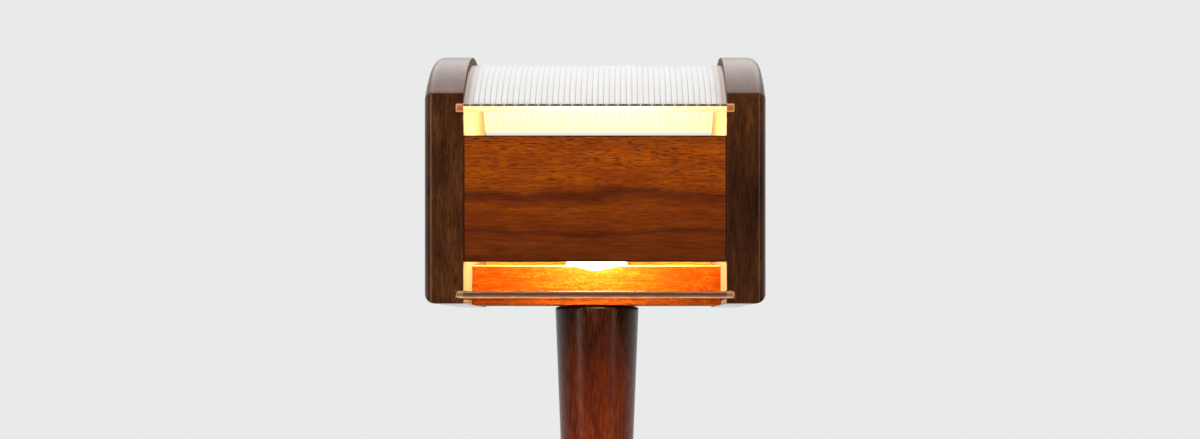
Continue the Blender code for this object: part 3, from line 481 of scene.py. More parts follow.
# ---------------------------------------------------------------------------------------------
# The two panels: red-brown walnut, sawn so that the growth rings run level, planed and oiled,
# glued and dowelled between the cheeks; they close the head's front and back between its slots.
panel_thickness = 7 * mm
board_top = head_bottom + 18.7 * mm
eased = 0.4 * mm
tight = 0.05 * mm
across = inner_face + tight
# The rings' tones also grow lighter towards the panel's top: painted light from above over the real bands
growth_rings_and_painted_top_light = [
    (0.0, "#73360a"), (0.1, "#80390a"), (0.19, "#823908"), (0.225, "#6b2e0c"), (0.26, "#8c3e05"),
    (0.42, "#9c4602"), (0.47, "#8e3e05"), (0.51, "#7a340a"), (0.54, "#78340b"), (0.6, "#b05203"),
    (0.75, "#be5900"), (0.92, "#c25b02"), (1.0, "#b25608"),
]
# A thin dark line is painted along the panels' side, top and bottom edges: painted shade where they meet the
# cheeks and the slots
panel_walnut = walnut("oiled_red_walnut_level", "x", ("#ac9688", "#dccfc6", "#ffffff"),
                      rings=(board_top, panel_top, growth_rings_and_painted_top_light), shift=(0.013, 0, 0.004), streak=(26, 1.9),
                      pore=(4.2, 0.42), pore_tone="#3c1c12", pore_share=0.85, gloss=0.42, specular=0.1,
                      rim=(inner_face, board_top, panel_top))
# Their inner sides are left bare; the front one, close to the bulb, has bleached
bare_red_walnut = walnut("bare_red_walnut", "x", ("#c8842c", "#dc9a38", "#eeb044"), streak=(60, 4.5),
                         pore_tone="#84481f", pore_share=0.4, gloss=0.6, specular=0.2)
bleached_walnut = walnut("bleached_walnut", "x", ("#a87c52", "#b6895c", "#c4966a"), streak=(60, 4.5),
                         pore_tone="#80583a", pore_share=0.4, gloss=0.6, specular=0.2)
for side, name, inner_finish in ((-1, "front_panel", bleached_walnut), (1, "rear_panel", bare_red_walnut)):
    outline = rectangle((-across, board_top), (across, panel_top), eased)
    start, stop = side * (half_depth - panel_thickness), side * half_depth
    panel = slab(name + "_walnut", outline, round_over(start, stop, eased, eased), "xzy", panel_walnut)
    finish_side(panel, inner_finish, "y", -side)
    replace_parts(panel, name)

# ---------------------------------------------------------------------------------------------
# The board: a lighter red walnut with a wavy grain, planed, glued and dowelled between the
# cheeks. The post is clamped under it, and a counterbored hole takes the tube's nut.
# A thin pale line is painted along the board's top edge: a painted highlight of the bulb's light on its eased
# edge
board_walnut = walnut("oiled_wavy_red_walnut", "x", ("#7c3002", "#9c4504", "#b85e06"), streak=(5, 0.9),
                      pore=(1.6, 0.45), pore_tone="#702c04", pore_share=0.8, gloss=0.45, specular=0.1,
                      rim=(1.0, 0.0, board_top + 0.1 * mm), painted_edge_tone="#f0cc88")
outline = rectangle((-across, head_bottom), (across, board_top), eased)
board = slab("head_board_walnut", outline, round_over(-board_half_depth, board_half_depth, eased, eased),
             "xzy", board_walnut)


def drill(spot, radius, low, high, along="z", finish=board_walnut):
    """A round cutter: the circle's loop about a spot, carried along one axis."""
    around = np.linspace(0, 2 * np.pi, 48, endpoint=False)
    circle = np.array(spot) + radius * np.stack([np.cos(around), np.sin(around)], axis=1)
    lay = {"z": "xyz", "y": "xzy"}[along]
    return slab("drill", lambda inset: circle, [(0, low), (0, high)], lay, finish, body=None)


tube_hole_radius = 5.3 * mm
tube_hole = drill((0, 0), tube_hole_radius, head_bottom - 1 * mm, board_top)
nut_recess = drill((0, 0), 10 * mm, board_top - 8 * mm, board_top + 1 * mm)
carve(board, [tube_hole, nut_recess])
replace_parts(board, "head_board")

# ---------------------------------------------------------------------------------------------
# The dowels: short beech pins, turned and fluted, glued across the joints. Hidden once it is
# together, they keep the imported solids. Beech is pale, with short darker flecks along the grain.
beech = mottled("turned_beech", {"Roughness": 0.6, "IOR": 1.5}, (4, 0.5),
                [(0.4, "#cfa779"), (0.62, "#b98a5c")], Detail=2.0)


def dress(names, finish):
    """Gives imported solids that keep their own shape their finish."""
    for name in names:
        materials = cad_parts[name].data.materials
        materials.clear()
        materials.append(finish)


dress([f"panel_dowel_{number}" for number in range(1, 9)], beech)
dress([f"board_dowel_{number}" for number in range(1, 5)], beech)

# ---------------------------------------------------------------------------------------------
# The shade: a clear acrylic sheet with low rounded reeds that run front to back, heated and bent to
# the arch, then slid into the cheeks' grooves. Its cut ends are flush with the cheeks' edges.
reed_count = 49
reed_depth = 0.22 * mm
shade_half_width = 61.9 * mm
reed_pitch = 2 * shade_half_width / reed_count
rear_angle = math.asin(shade_rear_stop / shade_radius) - groove_slack / shade_radius


def reeded_arc(points_in_a_reed=8, arc_steps=56, under_steps=24):
    """Rings of the sheet's section, reeds that fall as the fourth power of the way from their middle
    over a flat underside, swept by angle from the front, where each point starts on the cheeks'
    front plane, to the rear."""
    phase = np.linspace(0, reed_count, reed_count * points_in_a_reed + 1)
    top_x = shade_half_width * (2 * phase / reed_count - 1)
    crest = 1 - (2 * (phase % 1) - 1) ** 4
    top_radius = shade_radius - reed_depth * (1 - crest)
    under_x = np.linspace(shade_half_width, -shade_half_width, under_steps)
    section_x = np.concatenate([top_x, under_x])
    section_r = np.concatenate([top_radius, np.full(under_steps, shade_radius - shade_thickness)])
    front = -np.arcsin(half_depth / section_r)
    angle = front + (rear_angle - front) * np.linspace(0, 1, arc_steps + 1)[:, None]
    x = np.broadcast_to(section_x, (arc_steps + 1, len(section_x)))
    return np.stack([x, section_r * np.sin(angle), arch_centre + section_r * np.cos(angle)], axis=-1)


# Clear acrylic looks white where its reeds scatter the light of the bulb and the sky. The valleys
# between them are painted greyer, as thin lines of painted shade with painted specks along them.
# They are a fifth of the 2.5 mm pitch.
acrylic, tree, shader, spot = new_finish("clear_acrylic_reeded", {
    "Roughness": 0.5, "IOR": 1.49, "Specular IOR Level": 0.15, "Transmission Weight": 0.45,
})
along_x = add_node(tree, "SeparateXYZ", {0: spot}).outputs["X"]
reeds = add_node(tree, "MapRange",
                 {"Value": along_x, "From Min": -shade_half_width, "From Max": shade_half_width,
                                    "To Max": float(reed_count)})
beside = add_node(tree, "Math", {0: add_node(tree, "Math", {0: reeds}, operation="FRACT"), 1: 0.5},
                  operation="SUBTRACT")
beside = add_node(tree, "Math", {0: beside}, operation="ABSOLUTE")
painted_speckle = grained(tree, spot, 1.2, 0.5, "y", Detail=1.0)
valley_shade_mask = add_node(tree, "Math",
                  {0: beside, 1: add_node(tree, "Math", {0: painted_speckle, 1: 0.06}, operation="MULTIPLY")},
                  operation="ADD")
tone = add_node(tree, "ValToRGB", {0: valley_shade_mask},
                stops=[(0.42, "#f0f2f5"), (0.48, "#ccccce"), (0.52, "#8c8886")])
# Painted: towards the top the sheet turns greyer and its lines fainter, standing in for its grazing
# reflection
height = add_node(tree, "SeparateXYZ", {0: spot}).outputs["Z"]
fade = add_node(tree, "MapRange",
                {"Value": height, "From Min": arch_centre + 78 * mm, "From Max": arch_centre + 98 * mm,
                                   "To Max": 0.65})
tone = add_node(tree, "Mix", {0: fade, 6: tone, 7: linear("#d0d2d4")}, data_type="RGBA").outputs[2]
# Near the cheeks the sheet is painted pinkish: a painted reflection of the lit walnut seen in it
edge_x = add_node(tree, "Math", {0: along_x}, operation="ABSOLUTE")
cheek_reflection_share = add_node(tree, "MapRange", {"Value": edge_x, "From Min": inner_face - 2.2 * reed_pitch,
                                   "From Max": inner_face - 0.6 * reed_pitch,
                                   "To Max": 0.5})
colour = add_node(tree, "Mix", {0: cheek_reflection_share, 6: tone, 7: linear("#b89888")}, data_type="RGBA")
feed(tree, shader, {"Base Color": colour.outputs[2]})

# The sawn front edge is painted glowing, whiter in the middle and yellower towards the cheeks: a
# painted glow for the bulb's light that the sheet carries. Its upper rim is a painted reflection, a
# brown line in dashes two reeds long, and inside the grooves' ends it is painted amber with paler
# outlines, the lit wood seen through it.
painted_glow_edge, tree, shader, spot = new_finish("sawn_acrylic_edge_painted_glow", {
    "Roughness": 0.3, "IOR": 1.49, "Emission Strength": 0.3,
})
parts = add_node(tree, "SeparateXYZ", {0: spot})
radius = from_arch_centre(tree, spot)
edge_x = add_node(tree, "Math", {0: parts.outputs["X"]}, operation="ABSOLUTE")
pair = add_node(tree, "Math",
                {0: add_node(tree, "Math", {0: parts.outputs["X"], 1: 2 * reed_pitch}, operation="DIVIDE")},
                operation="FRACT")
reflection_dash = add_node(tree, "ValToRGB", {0: pair}, stops=[(0.02, 0.4), (0.09, 1.0), (0.91, 1.0), (0.98, 0.4)])
rim = add_node(tree, "MapRange",
               {"Value": radius, "From Min": shade_radius - 0.8 * mm, "From Max": shade_radius - 0.65 * mm})
line = add_node(tree, "Math", {0: rim, 1: reflection_dash}, operation="MULTIPLY")
in_groove = add_node(tree, "MapRange",
                     {"Value": edge_x, "From Min": inner_face, "From Max": inner_face + 0.2 * mm})
depth_in = add_node(tree, "MapRange",
                    {"Value": radius, "From Min": shade_radius - shade_thickness, "From Max": shade_radius})
outline_share = add_node(tree, "ValToRGB", {0: depth_in},
                         stops=[(0.1, 1.0), (0.22, 0.0), (0.78, 0.0), (0.9, 1.0)])
end_share = add_node(tree, "MapRange", {"Value": edge_x, "From Min": shade_half_width - 0.6 * mm,
                                        "From Max": shade_half_width - 0.3 * mm})
outline_share = add_node(tree, "Math", {0: outline_share, 1: end_share}, operation="MAXIMUM")
painted_groove_amber = add_node(tree, "Mix", {0: outline_share, 6: linear("#a04a00"), 7: linear("#c88c50")},
                 data_type="RGBA")
painted_glow_warmth = add_node(tree, "MapRange",
                       {"Value": edge_x, "From Min": 0.35 * inner_face, "From Max": 0.95 * inner_face})
painted_glow_warmth = add_node(tree, "Mix", {0: painted_glow_warmth, 6: linear("#fff6dc"), 7: linear("#ffdf90")},
                       data_type="RGBA")
bright = add_node(tree, "Mix", {0: line, 6: painted_glow_warmth.outputs[2], 7: linear("#3a1606")}, data_type="RGBA")
colour = add_node(tree, "Mix", {0: in_groove, 6: bright.outputs[2], 7: painted_groove_amber.outputs[2]}, data_type="RGBA")
feed(tree, shader, {"Base Color": colour.outputs[2], "Emission Color": colour.outputs[2]})

# The underside is flat. It is painted near white, a lit copy of the acrylic that stands in for the
# bulb's light on it, with faint painted stripes for the reeds above it.
underside, tree, shader, spot = new_finish("clear_acrylic_underside_painted_light", {
    "Roughness": 0.3, "IOR": 1.49, "Specular IOR Level": 0.3, "Transmission Weight": 0.1,
})
along_x = add_node(tree, "SeparateXYZ", {0: spot}).outputs["X"]
painted_reed_stripe = add_node(tree, "Math", {0: along_x, 1: reed_pitch / 2}, operation="PINGPONG")
painted_reed_stripe = add_node(tree, "MapRange", {"Value": painted_reed_stripe, "From Max": reed_pitch / 2})
colour = add_node(tree, "ValToRGB", {0: painted_reed_stripe}, stops=[(0.2, "#fefdf8"), (0.8, "#ece8da")])
feed(tree, shader, {"Base Color": colour})

rings = reeded_arc()
shade = place_mesh("reeded_shade", rings.reshape(-1, 3), loop_faces(*rings.shape[:2]), acrylic,
                   body="shade", smooth_angle=60)
shade.data.materials.append(painted_glow_edge)
shade.data.materials.append(underside)
sides, centres = np.empty(len(shade.data.polygons), int), np.empty(3 * len(shade.data.polygons))
shade.data.polygons.foreach_get("loop_total", sides)
shade.data.polygons.foreach_get("center", centres)
reach = np.linalg.norm(centres.reshape(-1, 3)[:, 1:] - (0, arch_centre), axis=1)
inner = reach < shade_radius - shade_thickness + 0.1 * mm
shade.data.polygons.foreach_set("material_index", np.where(sides > 4, 1, np.where(inner, 2, 0)))
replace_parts(shade, "ribbed_shade")

# ---------------------------------------------------------------------------------------------
# The lower sheets: clear cast acrylic, sawn and polished, slid into the straight grooves.
sheet_half_width = inner_face + 2.8 * mm
clear_sheet, tree, shader, spot = new_finish("clear_acrylic_flat", {
    "Base Color": linear("#fbf8f2"), "Roughness": 0.03, "IOR": 1.49, "Transmission Weight": 1.0,
})
out = tree.nodes["Material Output"]
path = add_node(tree, "LightPath")
let_through = add_node(tree, "BsdfTransparent", {"Color": (0.97, 0.95, 0.9, 1)})
mixed = add_node(tree, "MixShader", {0: path.outputs["Is Shadow Ray"], 1: shader, 2: let_through})
tree.links.new(mixed.outputs[0], out.inputs["Surface"])

# The sawn edge is painted with a reflection of the wood about it in thin level lines: pale at its
# corners, brown between, and tan with paler outlines inside the grooves.
painted_reflection_edge, tree, shader, spot = new_finish("sawn_acrylic_edge_painted_reflection", {"Roughness": 0.25, "IOR": 1.49})
height = add_node(tree, "SeparateXYZ", {0: spot}).outputs["Z"]
share = add_node(tree, "MapRange", {"Value": height, "From Min": sheet_low, "From Max": sheet_high})
ripple = grained(tree, spot, 4, 3, "x", Detail=2.0)
ripple = add_node(tree, "MapRange", {"Value": ripple, "To Min": -0.09, "To Max": 0.09})
share = add_node(tree, "Math", {0: share, 1: ripple}, operation="ADD")
tone = add_node(tree, "ValToRGB", {0: share}, stops=[
    (0.06, "#f0c890"), (0.16, "#b07850"), (0.3, "#966044"), (0.42, "#6c4630"), (0.62, "#5c3828"),
    (0.76, "#8a5a44"), (0.9, "#c89470"), (0.97, "#5a3020")])
spread = add_node(tree, "Math", {0: add_node(tree, "SeparateXYZ", {0: spot}).outputs["X"]},
                  operation="ABSOLUTE")
in_groove = add_node(tree, "MapRange",
                     {"Value": spread, "From Min": inner_face, "From Max": inner_face + 0.3 * mm})
ends = add_node(tree, "ValToRGB", {0: share},
                stops=[(0.1, "#e8c498"), (0.24, "#b07c4c"), (0.5, "#8a5c38"), (0.8, "#c8986c")])
tone = add_node(tree, "Mix", {0: in_groove, 6: tone, 7: ends}, data_type="RGBA")
feed(tree, shader, {"Base Color": tone.outputs[2]})
for side, name, body in ((-1, "front_lower_sheet", "front_sheet"), (1, "rear_lower_sheet", "rear_sheet")):
    near, far = sorted((side * (board_half_depth + 0.3 * mm), side * half_depth))
    outline = rectangle((-sheet_half_width, near), (sheet_half_width, far), 0.2 * mm)
    sheet = slab(name + "_acrylic", outline, round_over(sheet_low, sheet_high, 0.15 * mm, 0.15 * mm, 2),
                 "xyz",
                 clear_sheet, body=body)
    finish_side(sheet, painted_reflection_edge, "y", side, least=0.3)
    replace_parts(sheet, name)

# ---------------------------------------------------------------------------------------------
# The bulb: a small opal glass globe, blown, cemented in a brass screw cap with a tinned tip. It is
# lit: the coating inside the glass spreads the light, so the globe is evenly bright.
bulb_centre = (0.0, -33.7 * mm, 257.46 * mm)
bulb_radius = 24.5 * mm
neck_radius, tail_radius = 9 * mm, 6.15 * mm
shoulder_back, tail_back = -28.98 * mm, -34.98 * mm
bulb_warmth = (1.0, 0.76, 0.42, 1)
bulb_level = 42.0


def turned(name, profile, finish, centre=(0, 0, 0), facing="up", turns=96, closed=False, thread=None,
           flats=None, cross=None, **place):
    """A turned piece: each point (radius, height) of its profile goes round the axis in a ring.

    thread (pitch, depth, low, high) sinks the radius by a cosine of height and angle together,
    flats cuts it to a hexagon so wide, and cross (length, width, depth) sinks a driver's cross.
    """
    radius, height = np.asarray(profile, float).T[:, :, None]
    around = np.linspace(0, 2 * np.pi, turns, endpoint=False)[None, :]
    radius, height = radius + 0 * around, height + 0 * around
    if thread:
        pitch, depth, low, high = thread
        within = (height > low) & (height < high)
        radius = radius - within * depth * (1 - np.cos(2 * np.pi * height / pitch - around)) / 2
    if flats:
        sixth = np.mod(around, np.pi / 3) - np.pi / 6
        radius = np.minimum(radius, flats / 2 / np.cos(sixth))
    side, face = radius * np.cos(around), radius * np.sin(around)
    if cross:
        length, width, depth = cross
        arm = np.clip((width / 2 - np.minimum(abs(side), abs(face))) / (0.25 * width), 0, 1)
        reach = np.clip((length / 2 - radius) / (0.15 * length), 0, 1)
        height = height - depth * arm * reach * (height > np.max(height) - depth)
    layouts = {"up": [side, face, height], "down": [side, -face, -height],
               "front": [side, -height, face], "rear": [side, height, face]}
    points = np.stack(layouts[facing], axis=-1) + centre
    faces = grid_faces(radius.shape[0], turns, closed, True)
    return place_mesh(name, points.reshape(-1, 3), faces, finish, **place)


def bulb_profile(inset):
    """Globe, neck, shoulder and tail from the round end back, set in by the wall or not."""
    angle = np.linspace(0, math.radians(148), 40)
    globe = np.stack([np.sin(angle), np.cos(angle)], axis=1) * (bulb_radius - inset)
    shoulder, wide, narrow = shoulder_back + inset, neck_radius - inset, tail_radius - inset
    stem = [(wide, shoulder + 1.2 * mm), (wide, shoulder), (narrow, shoulder), (narrow, tail_back)]
    return np.vstack([globe, stem])


opal = new_finish("blown_opal_glass", {
    "Base Color": linear("#fff4e2"), "Roughness": 0.25, "IOR": 1.5,
    "Emission Color": bulb_warmth, "Emission Strength": bulb_level,
})[0]
profile = np.vstack([bulb_profile(0), bulb_profile(1 * mm)[::-1]])
globe = turned("opal_globe", profile, opal, centre=bulb_centre, facing="front")
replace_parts(globe, "bulb_glass")


# Bare metals: a spun, rolled or drawn surface keeps fine lines round or along the piece, which
# draw its gloss out; handling leaves it a little uneven. The lines are drawn ten times too coarse.
def metal(name, hex_colour, worn_hex, gloss, line=(6, 0.12), run="x"):
    """A bare metal whose lines run along one axis, in its clean and its worn colour."""
    material, tree, shader, spot = new_finish(name, {"Metallic": 1.0})
    wear = grained(tree, spot, 5, 5, run, Detail=3.0)
    colour = add_node(tree, "ValToRGB", {0: wear}, stops=[(0.42, hex_colour), (0.66, worn_hex)])
    lines = grained(tree, spot, line[0], line[1], run, Detail=1.0)
    dull = add_node(tree, "MapRange", {"Value": lines, "To Min": gloss - 0.08, "To Max": gloss + 0.12})
    bump = add_node(tree, "Bump", {"Height": lines, "Strength": 0.15, "Distance": 0.03 * mm})
    feed(tree, shader, {"Base Color": colour, "Roughness": dull, "Normal": bump})
    return material


rolled_brass = metal("rolled_brass", "#c9a560", "#a98648", 0.28)
tinned_lead = metal("tinned_contact", "#b9b8b2", "#96958f", 0.35)
cap_front = -4.42 * mm - bulb_centre[1]
cap_length, cap_radius = 20.5 * mm, 6.95 * mm
wall = np.linspace(-cap_front, -cap_front - cap_length + 1.1 * mm, 66)
profile = [(6.45 * mm, wall[-1]), (6.45 * mm, wall[0]), *[(cap_radius, h) for h in wall],
           (2.4 * mm, -cap_front - cap_length), (0, -cap_front - cap_length), (0, wall[-1])]
cap = turned("brass_screw_cap", profile, rolled_brass, centre=bulb_centre, facing="front", turns=48,
             closed=True,
             thread=(2.82 * mm, 0.55 * mm, wall[-1] + 0.5 * mm, wall[0] - 1.5 * mm))
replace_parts(cap, "bulb_cap")
low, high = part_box("bulb_tip")
dome = np.linspace(0, np.pi / 2, 7)
profile = [(0, 0), (2.4 * mm, 0), (2.4 * mm, -0.8 * mm)]
profile += [(2.4 * mm * math.cos(a), -0.8 * mm - 1.2 * mm * math.sin(a)) for a in dome[1:]]
tip = turned("soldered_tip", profile, tinned_lead, centre=(0, low.y, bulb_centre[2]), facing="front",
             turns=32)
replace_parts(tip, "bulb_tip")

# ---------------------------------------------------------------------------------------------
# The lampholder: a black phenolic moulding with a brass screw shell and contact pressed in, held
# by a threaded nipple and a nut on a bent, zinc-plated steel bracket that is screwed on the board.
holder_front, holder_rear = -4.12 * mm, 28.28 * mm
holder_radius, mouth_radius, holder_back = 12.95 * mm, 8.15 * mm, 8.5 * mm
thread_radius, thread_pitch, thread_depth = 5 * mm, 1 * mm, 0.45 * mm
nut_flats, nut_height, nut_bore = 14 * mm, 4 * mm, 5.05 * mm
wire_spots = (-1.6 * mm, 1.6 * mm)

# Moulded phenolic: dense, brown-black, with a low even gloss and a faint mottle from its wood flour
phenolic = mottled("moulded_black_phenolic", {"IOR": 1.6}, (1.2, 1.2), [(0.35, "#15110f"), (0.65, "#2b2320")],
                   dull=(0.3, 0.5), Detail=4.0)


def ring_profile(outer, inner, low, high, ease):
    """Section of a ring between two heights, its four corners eased."""
    return rectangle((inner, low), (outer, high), ease)(0.0)


length = holder_rear - holder_front
profile = np.vstack([
    bend((holder_radius - 1 * mm, length), (holder_radius, length), (holder_radius, length - 1 * mm)),
    [(holder_radius, 9.4 * mm)],
    bend((holder_radius, 9 * mm), (holder_radius - 0.6 * mm, 8.8 * mm), (holder_radius - 0.6 * mm, 8.4 * mm)),
    bend((holder_radius - 0.6 * mm, 1.2 * mm), (holder_radius - 0.6 * mm, 0), (holder_radius - 1.6 * mm, 0)),
    [(tube_hole_radius, 0), (tube_hole_radius, holder_back), (mouth_radius, holder_back),
     (mouth_radius, length - 0.5 * mm)],
    bend((mouth_radius, length - 0.5 * mm), (mouth_radius, length), (mouth_radius + 0.5 * mm, length)),
])
holder = turned("phenolic_lampholder", profile, phenolic, centre=(0, holder_rear, bulb_centre[2]),
                facing="front",
                turns=64, closed=True)
entry_y = holder_rear - holder_back / 2
entry_top = bulb_centre[2] - holder_radius + 4 * mm
wire_radius, below = 1.3 * mm, bulb_centre[2] - 15 * mm
carve(holder, [drill((x, entry_y), wire_radius, below, entry_top, finish=phenolic) for x in wire_spots])
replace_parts(holder, "lampholder_body")
dress(["lampholder_shell", "lampholder_contact"], rolled_brass)

zinc = metal("zinc_plated_steel", "#bfc1c0", "#9a9c9d", 0.3, run="z")
zinc_level = metal("zinc_plated_strip", "#bdbfbe", "#96989a", 0.34, line=(8, 0.2), run="y")


def nut(name, node, centre, facing):
    """A hexagon nut with chamfered corners: rings of one radius, cut to the hexagon."""
    corner = nut_flats / 2 / math.cos(math.pi / 6)
    face, edge = nut_flats / 2 - 0.1 * mm, 0.6 * mm
    lead_in = 0.3 * mm
    profile = [(nut_bore, lead_in), (nut_bore + lead_in, 0), (face, 0), (corner, edge),
               (corner, nut_height - edge), (face, nut_height), (nut_bore + lead_in, nut_height),
               (nut_bore, nut_height - lead_in)]
    piece = turned(name, profile, zinc, centre=centre, facing=facing, turns=72, closed=True, flats=nut_flats)
    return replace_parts(piece, node)


def threaded_rod(name, node, start, length, bore, centre, facing, threaded_ends=12 * mm):
    """A hollow rod with a rolled thread at each end, closed round its bore."""
    step = thread_pitch / 6
    ends = min(threaded_ends, length / 2)
    near = np.arange(0, ends, step)
    heights = np.concatenate([near, np.linspace(ends, length - ends, 12), length - near[::-1]])
    profile = [(bore, start), *[(thread_radius, start + h) for h in heights], (bore, start + length)]
    piece = turned(name, profile, zinc, centre=centre, facing=facing, turns=24, closed=True,
                   thread=(thread_pitch, thread_depth, start - 1, start + length + 1))
    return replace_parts(piece, node)


low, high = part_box("lampholder_nipple")
threaded_rod("threaded_nipple", "lampholder_nipple", 0.0, high.y - low.y, 3.6 * mm,
             (0, low.y, bulb_centre[2]), "rear")
low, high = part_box("lampholder_nut")
nut("nipple_nut", "lampholder_nut", (0, low.y, bulb_centre[2]), "rear")

bracket_foot, strip = 235.9 * mm, 1.6 * mm
bracket_front, bracket_back = 28.58 * mm, 30.18 * mm
bracket_head, bracket_toe = 269.96 * mm, -18.2 * mm
bracket_half_width = 14.5 * mm


def bracket_side(inset):
    """Loop round the bent strip seen from the side, foot first, set in all round."""
    out, inn = 2 * strip - inset, strip + inset
    middle = np.array([bracket_back - 2 * strip, bracket_foot + 2 * strip])
    turn = np.linspace(0, np.pi / 2, 9)[:, None]
    outer = middle + out * np.hstack([np.sin(turn), -np.cos(turn)])
    inner = middle + inn * np.hstack([np.sin(turn), -np.cos(turn)])
    toe, head = bracket_toe + inset, bracket_head - inset
    return np.vstack([[(toe, bracket_foot + inset)], outer,
                      [(bracket_back - inset, head), (bracket_front + inset, head)],
                      inner[::-1], [(toe, bracket_foot + strip - inset)]])


bracket = slab("bent_steel_bracket", bracket_side,
               round_over(-bracket_half_width, bracket_half_width, 0.2 * mm, 0.2 * mm, 2),
               "yzx", zinc_level)
screw_top = 239.6 * mm
screw_spots = {"left": (-8.7 * mm, -14.1 * mm), "right": (8.7 * mm, -14.1 * mm)}
low, high = bracket_foot - 1 * mm, bracket_foot + 3 * mm
round_holes = [((0, 0), 10 * mm), *[(spot, 1.7 * mm) for spot in screw_spots.values()]]
holes = [drill(spot, radius, low, high, finish=zinc_level) for spot, radius in round_holes]
holes.append(drill((0, bulb_centre[2]), tube_hole_radius, bracket_front - 1 * mm, bracket_back + 1 * mm,
                   "y", zinc_level))
carve(bracket, holes)
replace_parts(bracket, "holder_bracket")


def screw_profile(head_radius, head_height, shank, length, countersunk):
    """Section of a screw from the middle of its head down to its point; a pan head is domed."""
    r = np.linspace(0, head_radius, 14)
    crown = -0.25 * head_height * (r / head_radius) ** 4 if not countersunk else 0 * r
    top = np.stack([r, crown], axis=1)
    under = [(shank, -head_height)] if countersunk else [(head_radius, -0.9 * head_height),
                                                         (head_radius - 0.2 * mm, -head_height)]
    rod = [(shank, h) for h in np.linspace(-head_height - 0.1 * mm, -length + 2 * shank, 48)]
    return np.vstack([top, under, rod, [(0, -length)]])


for side, (x, y) in screw_spots.items():
    profile = screw_profile(3 * mm, 1.8 * mm, 1.4 * mm, 12 * mm, False)
    screw = turned(f"pan_head_screw_{side}", profile, zinc, centre=(x, y, screw_top), turns=48,
                   cross=(3.4 * mm, 0.9 * mm, 0.9 * mm),
                   thread=(1 * mm, 0.35 * mm, -10 * mm, -3 * mm))
    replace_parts(screw, f"bracket_screw_{side}")

# ---------------------------------------------------------------------------------------------
# The post: dark walnut, turned between centres, widest under the head and evenly tapered, bored
# for the tube; oiled. It is painted darker towards its top, a painted shade under the head, and
# redder towards its foot, a painted warm light from the bulb. Both ends are chamfered.
post_bottom, post_top = 26.6 * mm, 216.6 * mm
post_walnut = walnut("oiled_dark_walnut_turned", "z", ("#6c5240", "#b4967c", "#ffffff"),
                     rings=(post_bottom, post_top,
                            [(0.0, "#a24602"), (0.6, "#9a4202"), (0.8, "#763204"), (0.9, "#4a2408"),
                                                    (1.0, "#341a08")]),
                     streak=(80, 3.2), pore=(6, 0.5), gloss=0.24, specular=0.3)
profile = np.vstack([
    [(tube_hole_radius, post_top), (18.05 * mm, post_top)],
    bend((18.05 * mm, post_top), (19.95 * mm, post_top - 0.6 * mm), (20.04 * mm, post_top - 1.1 * mm)),
    np.linspace((20.0 * mm, post_top - 2 * mm), (12.62 * mm, post_bottom + 1 * mm), 12),
    bend((12.6 * mm, post_bottom + 0.5 * mm), (12.55 * mm, post_bottom), (12.1 * mm, post_bottom)),
    [(tube_hole_radius, post_bottom)],
])
post = turned("turned_post", profile, post_walnut, turns=128, closed=True)
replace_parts(post, "post")

# ---------------------------------------------------------------------------------------------
# The lamp tube: a hollow steel rod, threaded at its ends, that runs through board, post and base
# and clamps them between two hexagon nuts, each on a washer.
low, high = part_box("lamp_tube")
threaded_rod("threaded_lamp_tube", "lamp_tube", low.z, high.z - low.z, 3.8 * mm, (0, 0, 0), "up")
for node in ("head_nut", "base_nut"):
    low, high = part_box(node)
    nut("hexagon_" + node, node, (0, 0, low.z), "up")
for node in ("head_washer", "base_washer"):
    low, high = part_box(node)
    washer = turned("punched_" + node, ring_profile(9 * mm, tube_hole_radius, low.z, high.z, 0.2 * mm),
                    zinc, turns=48, closed=True)
    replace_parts(washer, node)

# ---------------------------------------------------------------------------------------------
# The base: a walnut disc, turned on a faceplate, its top edge rounded and its underside hollowed
# for the weight, with a rebate for the cover. The grain runs level across it.
base_bottom, base_top = 2.3 * mm, 26.3 * mm
base_radius, base_round = 80 * mm, 8 * mm
recess_radius, recess_top, rebate_radius = 52 * mm, 19.3 * mm, 58 * mm
switch_spot = (0.0, -29.3 * mm)
inlet_height = 12.3 * mm
switch_hole_radius, inlet_hole_radius, spot_face_radius = 5.8 * mm, 5.1 * mm, 6.8 * mm
base_walnut = walnut("oiled_dark_walnut_disc", "x", ("#341a0f", "#522c19", "#6e4127"), streak=(110, 7),
                     shift=(0, 0.03, 0),
                     pore=(6, 0.45), gloss=0.34, specular=0.35)
turn = np.linspace(0, np.pi / 2, 13)
rim = np.stack([base_radius - base_round + base_round * np.sin(turn),
                base_top - base_round + base_round * np.cos(turn)], axis=1)
profile = np.vstack([
    [(tube_hole_radius, base_top), (14 * mm, base_top), (40 * mm, base_top)], rim, [(base_radius, 4.2 * mm)],
    bend((base_radius, base_bottom + 1.5 * mm), (base_radius, base_bottom),
         (base_radius - 1.5 * mm, base_bottom)),
    [(rebate_radius, base_bottom), (rebate_radius, base_bottom + 3 * mm),
     (recess_radius, base_bottom + 3 * mm), (recess_radius, recess_top), (tube_hole_radius, recess_top)],
])
base = turned("turned_base", profile, base_walnut, turns=160, closed=True)
past_rim = base_radius + 2 * mm
carve(base, [
    drill(switch_spot, switch_hole_radius, recess_top - 2 * mm, base_top + 2 * mm, finish=base_walnut),
    drill((0, inlet_height), spot_face_radius, base_radius - 2.3 * mm, past_rim, "y", base_walnut),
    drill((0, inlet_height), inlet_hole_radius, recess_radius - 2 * mm, past_rim, "y", base_walnut),
])
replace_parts(base, "base")

# ---------------------------------------------------------------------------------------------
# Under the base: a cast iron weight in the hollow, hidden for good; a hardboard cover on four
# countersunk screws; and a ring of felt, glued to the rim, that the lamp stands on.
cast_iron = mottled("sand_cast_iron", {"Metallic": 0.8}, (0.9, 0.9), [(0.35, "#34322f"), (0.65, "#55504a")],
                    dull=(0.55, 0.8), relief=(0.6, 0.15 * mm), Detail=4.0)
dress(["ballast_weight"], cast_iron)

